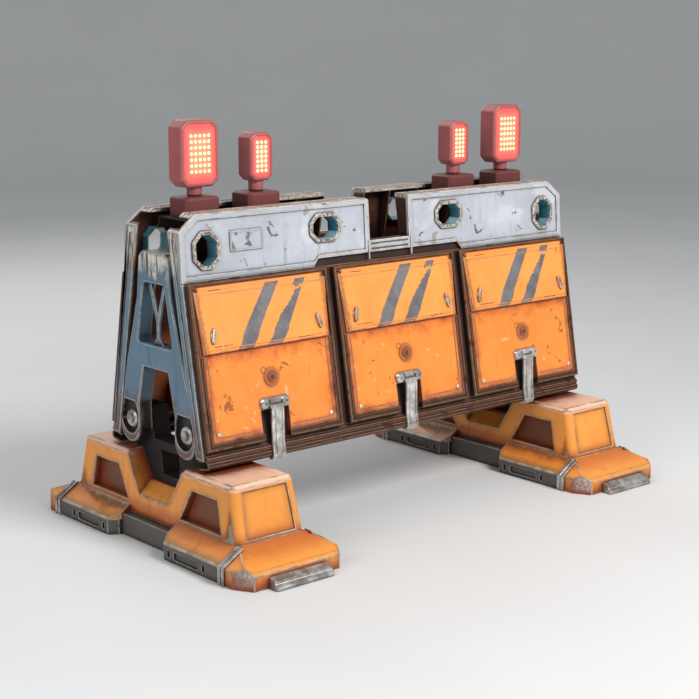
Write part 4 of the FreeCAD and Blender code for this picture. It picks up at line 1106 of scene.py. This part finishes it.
class BARRIER_OT_stage(BarrierPiece):
    """Plain pale floor, soft lights and the camera"""
    bl_idname = "barrier.stage"
    bl_label = "Stage"

    def execute(self, context):
        look = context.scene.barrier_stage
        self.floor(look)
        self.sky(look)
        for name, place, size, setting, share in LIGHTS:
            self.light(name, place, size if look.soft else 1.0, getattr(look, setting) * share)
        self.camera(context)
        return {"FINISHED"}

    def floor(self, look):
        """A flat floor whose far rim curves up all round, as a studio sweep does."""
        rounds = 128
        profile = [(FLOOR_REACH, 0.0)]
        for step in range(1, 13):
            turn = step / 12 * math.pi / 2
            profile.append((FLOOR_REACH + RIM_BEND * math.sin(turn),
                            RIM_BEND - RIM_BEND * math.cos(turn)))
        profile.append((FLOOR_REACH + RIM_BEND, RIM_TOP))
        points, faces = [], []
        for reach, height in profile:
            for step in range(rounds):
                turn = 2 * math.pi * step / rounds
                points.append((reach * math.cos(turn), reach * math.sin(turn), height))
        for ring in range(len(profile) - 1):
            for step in range(rounds):
                a, b = ring * rounds + step, ring * rounds + (step + 1) % rounds
                faces.append((a, a + rounds, b + rounds, b))
        faces.append(tuple(range(rounds)))
        mesh = bpy.data.meshes.new("floor")
        mesh.from_pydata(points, [], faces)
        mesh.polygons.foreach_set("use_smooth", [True] * len(mesh.polygons))
        floor = linked("floor", mesh)
        s = Shade("pale floor")
        tone = s.noise(0.8, 3.0)
        base = s.mix(s.ramp(tone, 0.3, 0.7), tuple(0.97 * c for c in look.floor),
                     tuple(look.floor))
        mesh.materials.append(s.finish(base, s.math("ADD", 0.7, s.math("MULTIPLY", tone, 0.1))))
        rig.stage(floor)

    def sky(self, look):
        world = bpy.data.worlds.new("studio")
        world.use_nodes = True
        sky = world.node_tree.nodes["Background"]
        sky.inputs["Color"].default_value = (0.86, 0.90, 0.95, 1.0)
        sky.inputs["Strength"].default_value = look.sky
        bpy.context.scene.world = world

    def light(self, name, place, size, power):
        lamp = bpy.data.lights.new(name, "AREA")
        lamp.shape = "DISK"
        lamp.size = size
        lamp.energy = power
        source = bpy.data.objects.new(name, lamp)
        source.location = place
        aim = Vector((0.0, 0.0, 0.6)) - Vector(place)
        source.rotation_euler = aim.to_track_quat("-Z", "Y").to_euler()
        bpy.context.scene.collection.objects.link(source)

    def camera(self, context):
        lens = bpy.data.cameras.new("camera")
        lens.sensor_width = 36.0
        lens.lens = CAMERA_LENS
        view = bpy.data.objects.new("camera", lens)
        view.location = CAMERA_PLACE
        view.rotation_euler = (math.radians(90 + CAMERA_PITCH), 0.0, math.radians(CAMERA_YAW))
        context.scene.collection.objects.link(view)
        context.scene.camera = view
        context.scene.view_settings.view_transform = "Standard"


class BARRIER_PT_panel(bpy.types.Panel):
    bl_idname = "BARRIER_PT_panel"
    bl_label = "Traffic barrier"
    bl_space_type = "VIEW_3D"
    bl_region_type = "UI"
    bl_category = "Barrier"

    def draw(self, context):
        layout = self.layout
        for operator in OPERATORS:
            layout.operator(operator.bl_idname)
        for group in GROUPS:
            settings = getattr(context.scene, group)
            box = layout.box()
            for key in settings.__annotations__:
                box.prop(settings, key)


GROUPS = {"barrier_paint": BarrierPaint, "barrier_wear": BarrierWear,
          "barrier_lamps": BarrierLamps, "barrier_stage": BarrierStage}
OPERATORS = (BARRIER_OT_boards, BARRIER_OT_top_plates, BARRIER_OT_modules, BARRIER_OT_flaps,
             BARRIER_OT_fittings, BARRIER_OT_end_frames, BARRIER_OT_feet, BARRIER_OT_lamps,
             BARRIER_OT_stage)


def register():
    for group in GROUPS.values():
        bpy.utils.register_class(group)
    for name, group in GROUPS.items():
        setattr(bpy.types.Scene, name, PointerProperty(type=group))
    for operator in OPERATORS:
        bpy.utils.register_class(operator)
    bpy.utils.register_class(BARRIER_PT_panel)


def unregister():
    bpy.utils.unregister_class(BARRIER_PT_panel)
    for operator in reversed(OPERATORS):
        bpy.utils.unregister_class(operator)
    for name in GROUPS:
        delattr(bpy.types.Scene, name)
    for group in reversed(GROUPS.values()):
        bpy.utils.unregister_class(group)


def main():
    register()
    bpy.ops.barrier.boards()
    bpy.ops.barrier.top_plates()
    bpy.ops.barrier.modules()
    bpy.ops.barrier.flaps()
    bpy.ops.barrier.fittings()
    bpy.ops.barrier.end_frames()
    bpy.ops.barrier.feet()
    bpy.ops.barrier.lamps()
    bpy.ops.barrier.stage()
    visual_box = [list(corner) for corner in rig.bounds()]
    with open("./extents.json", "w") as sizes:
        json.dump({"cad_box": CAD_BOX, "visual_box": visual_box}, sizes)


if __name__ == "__main__":
    main()
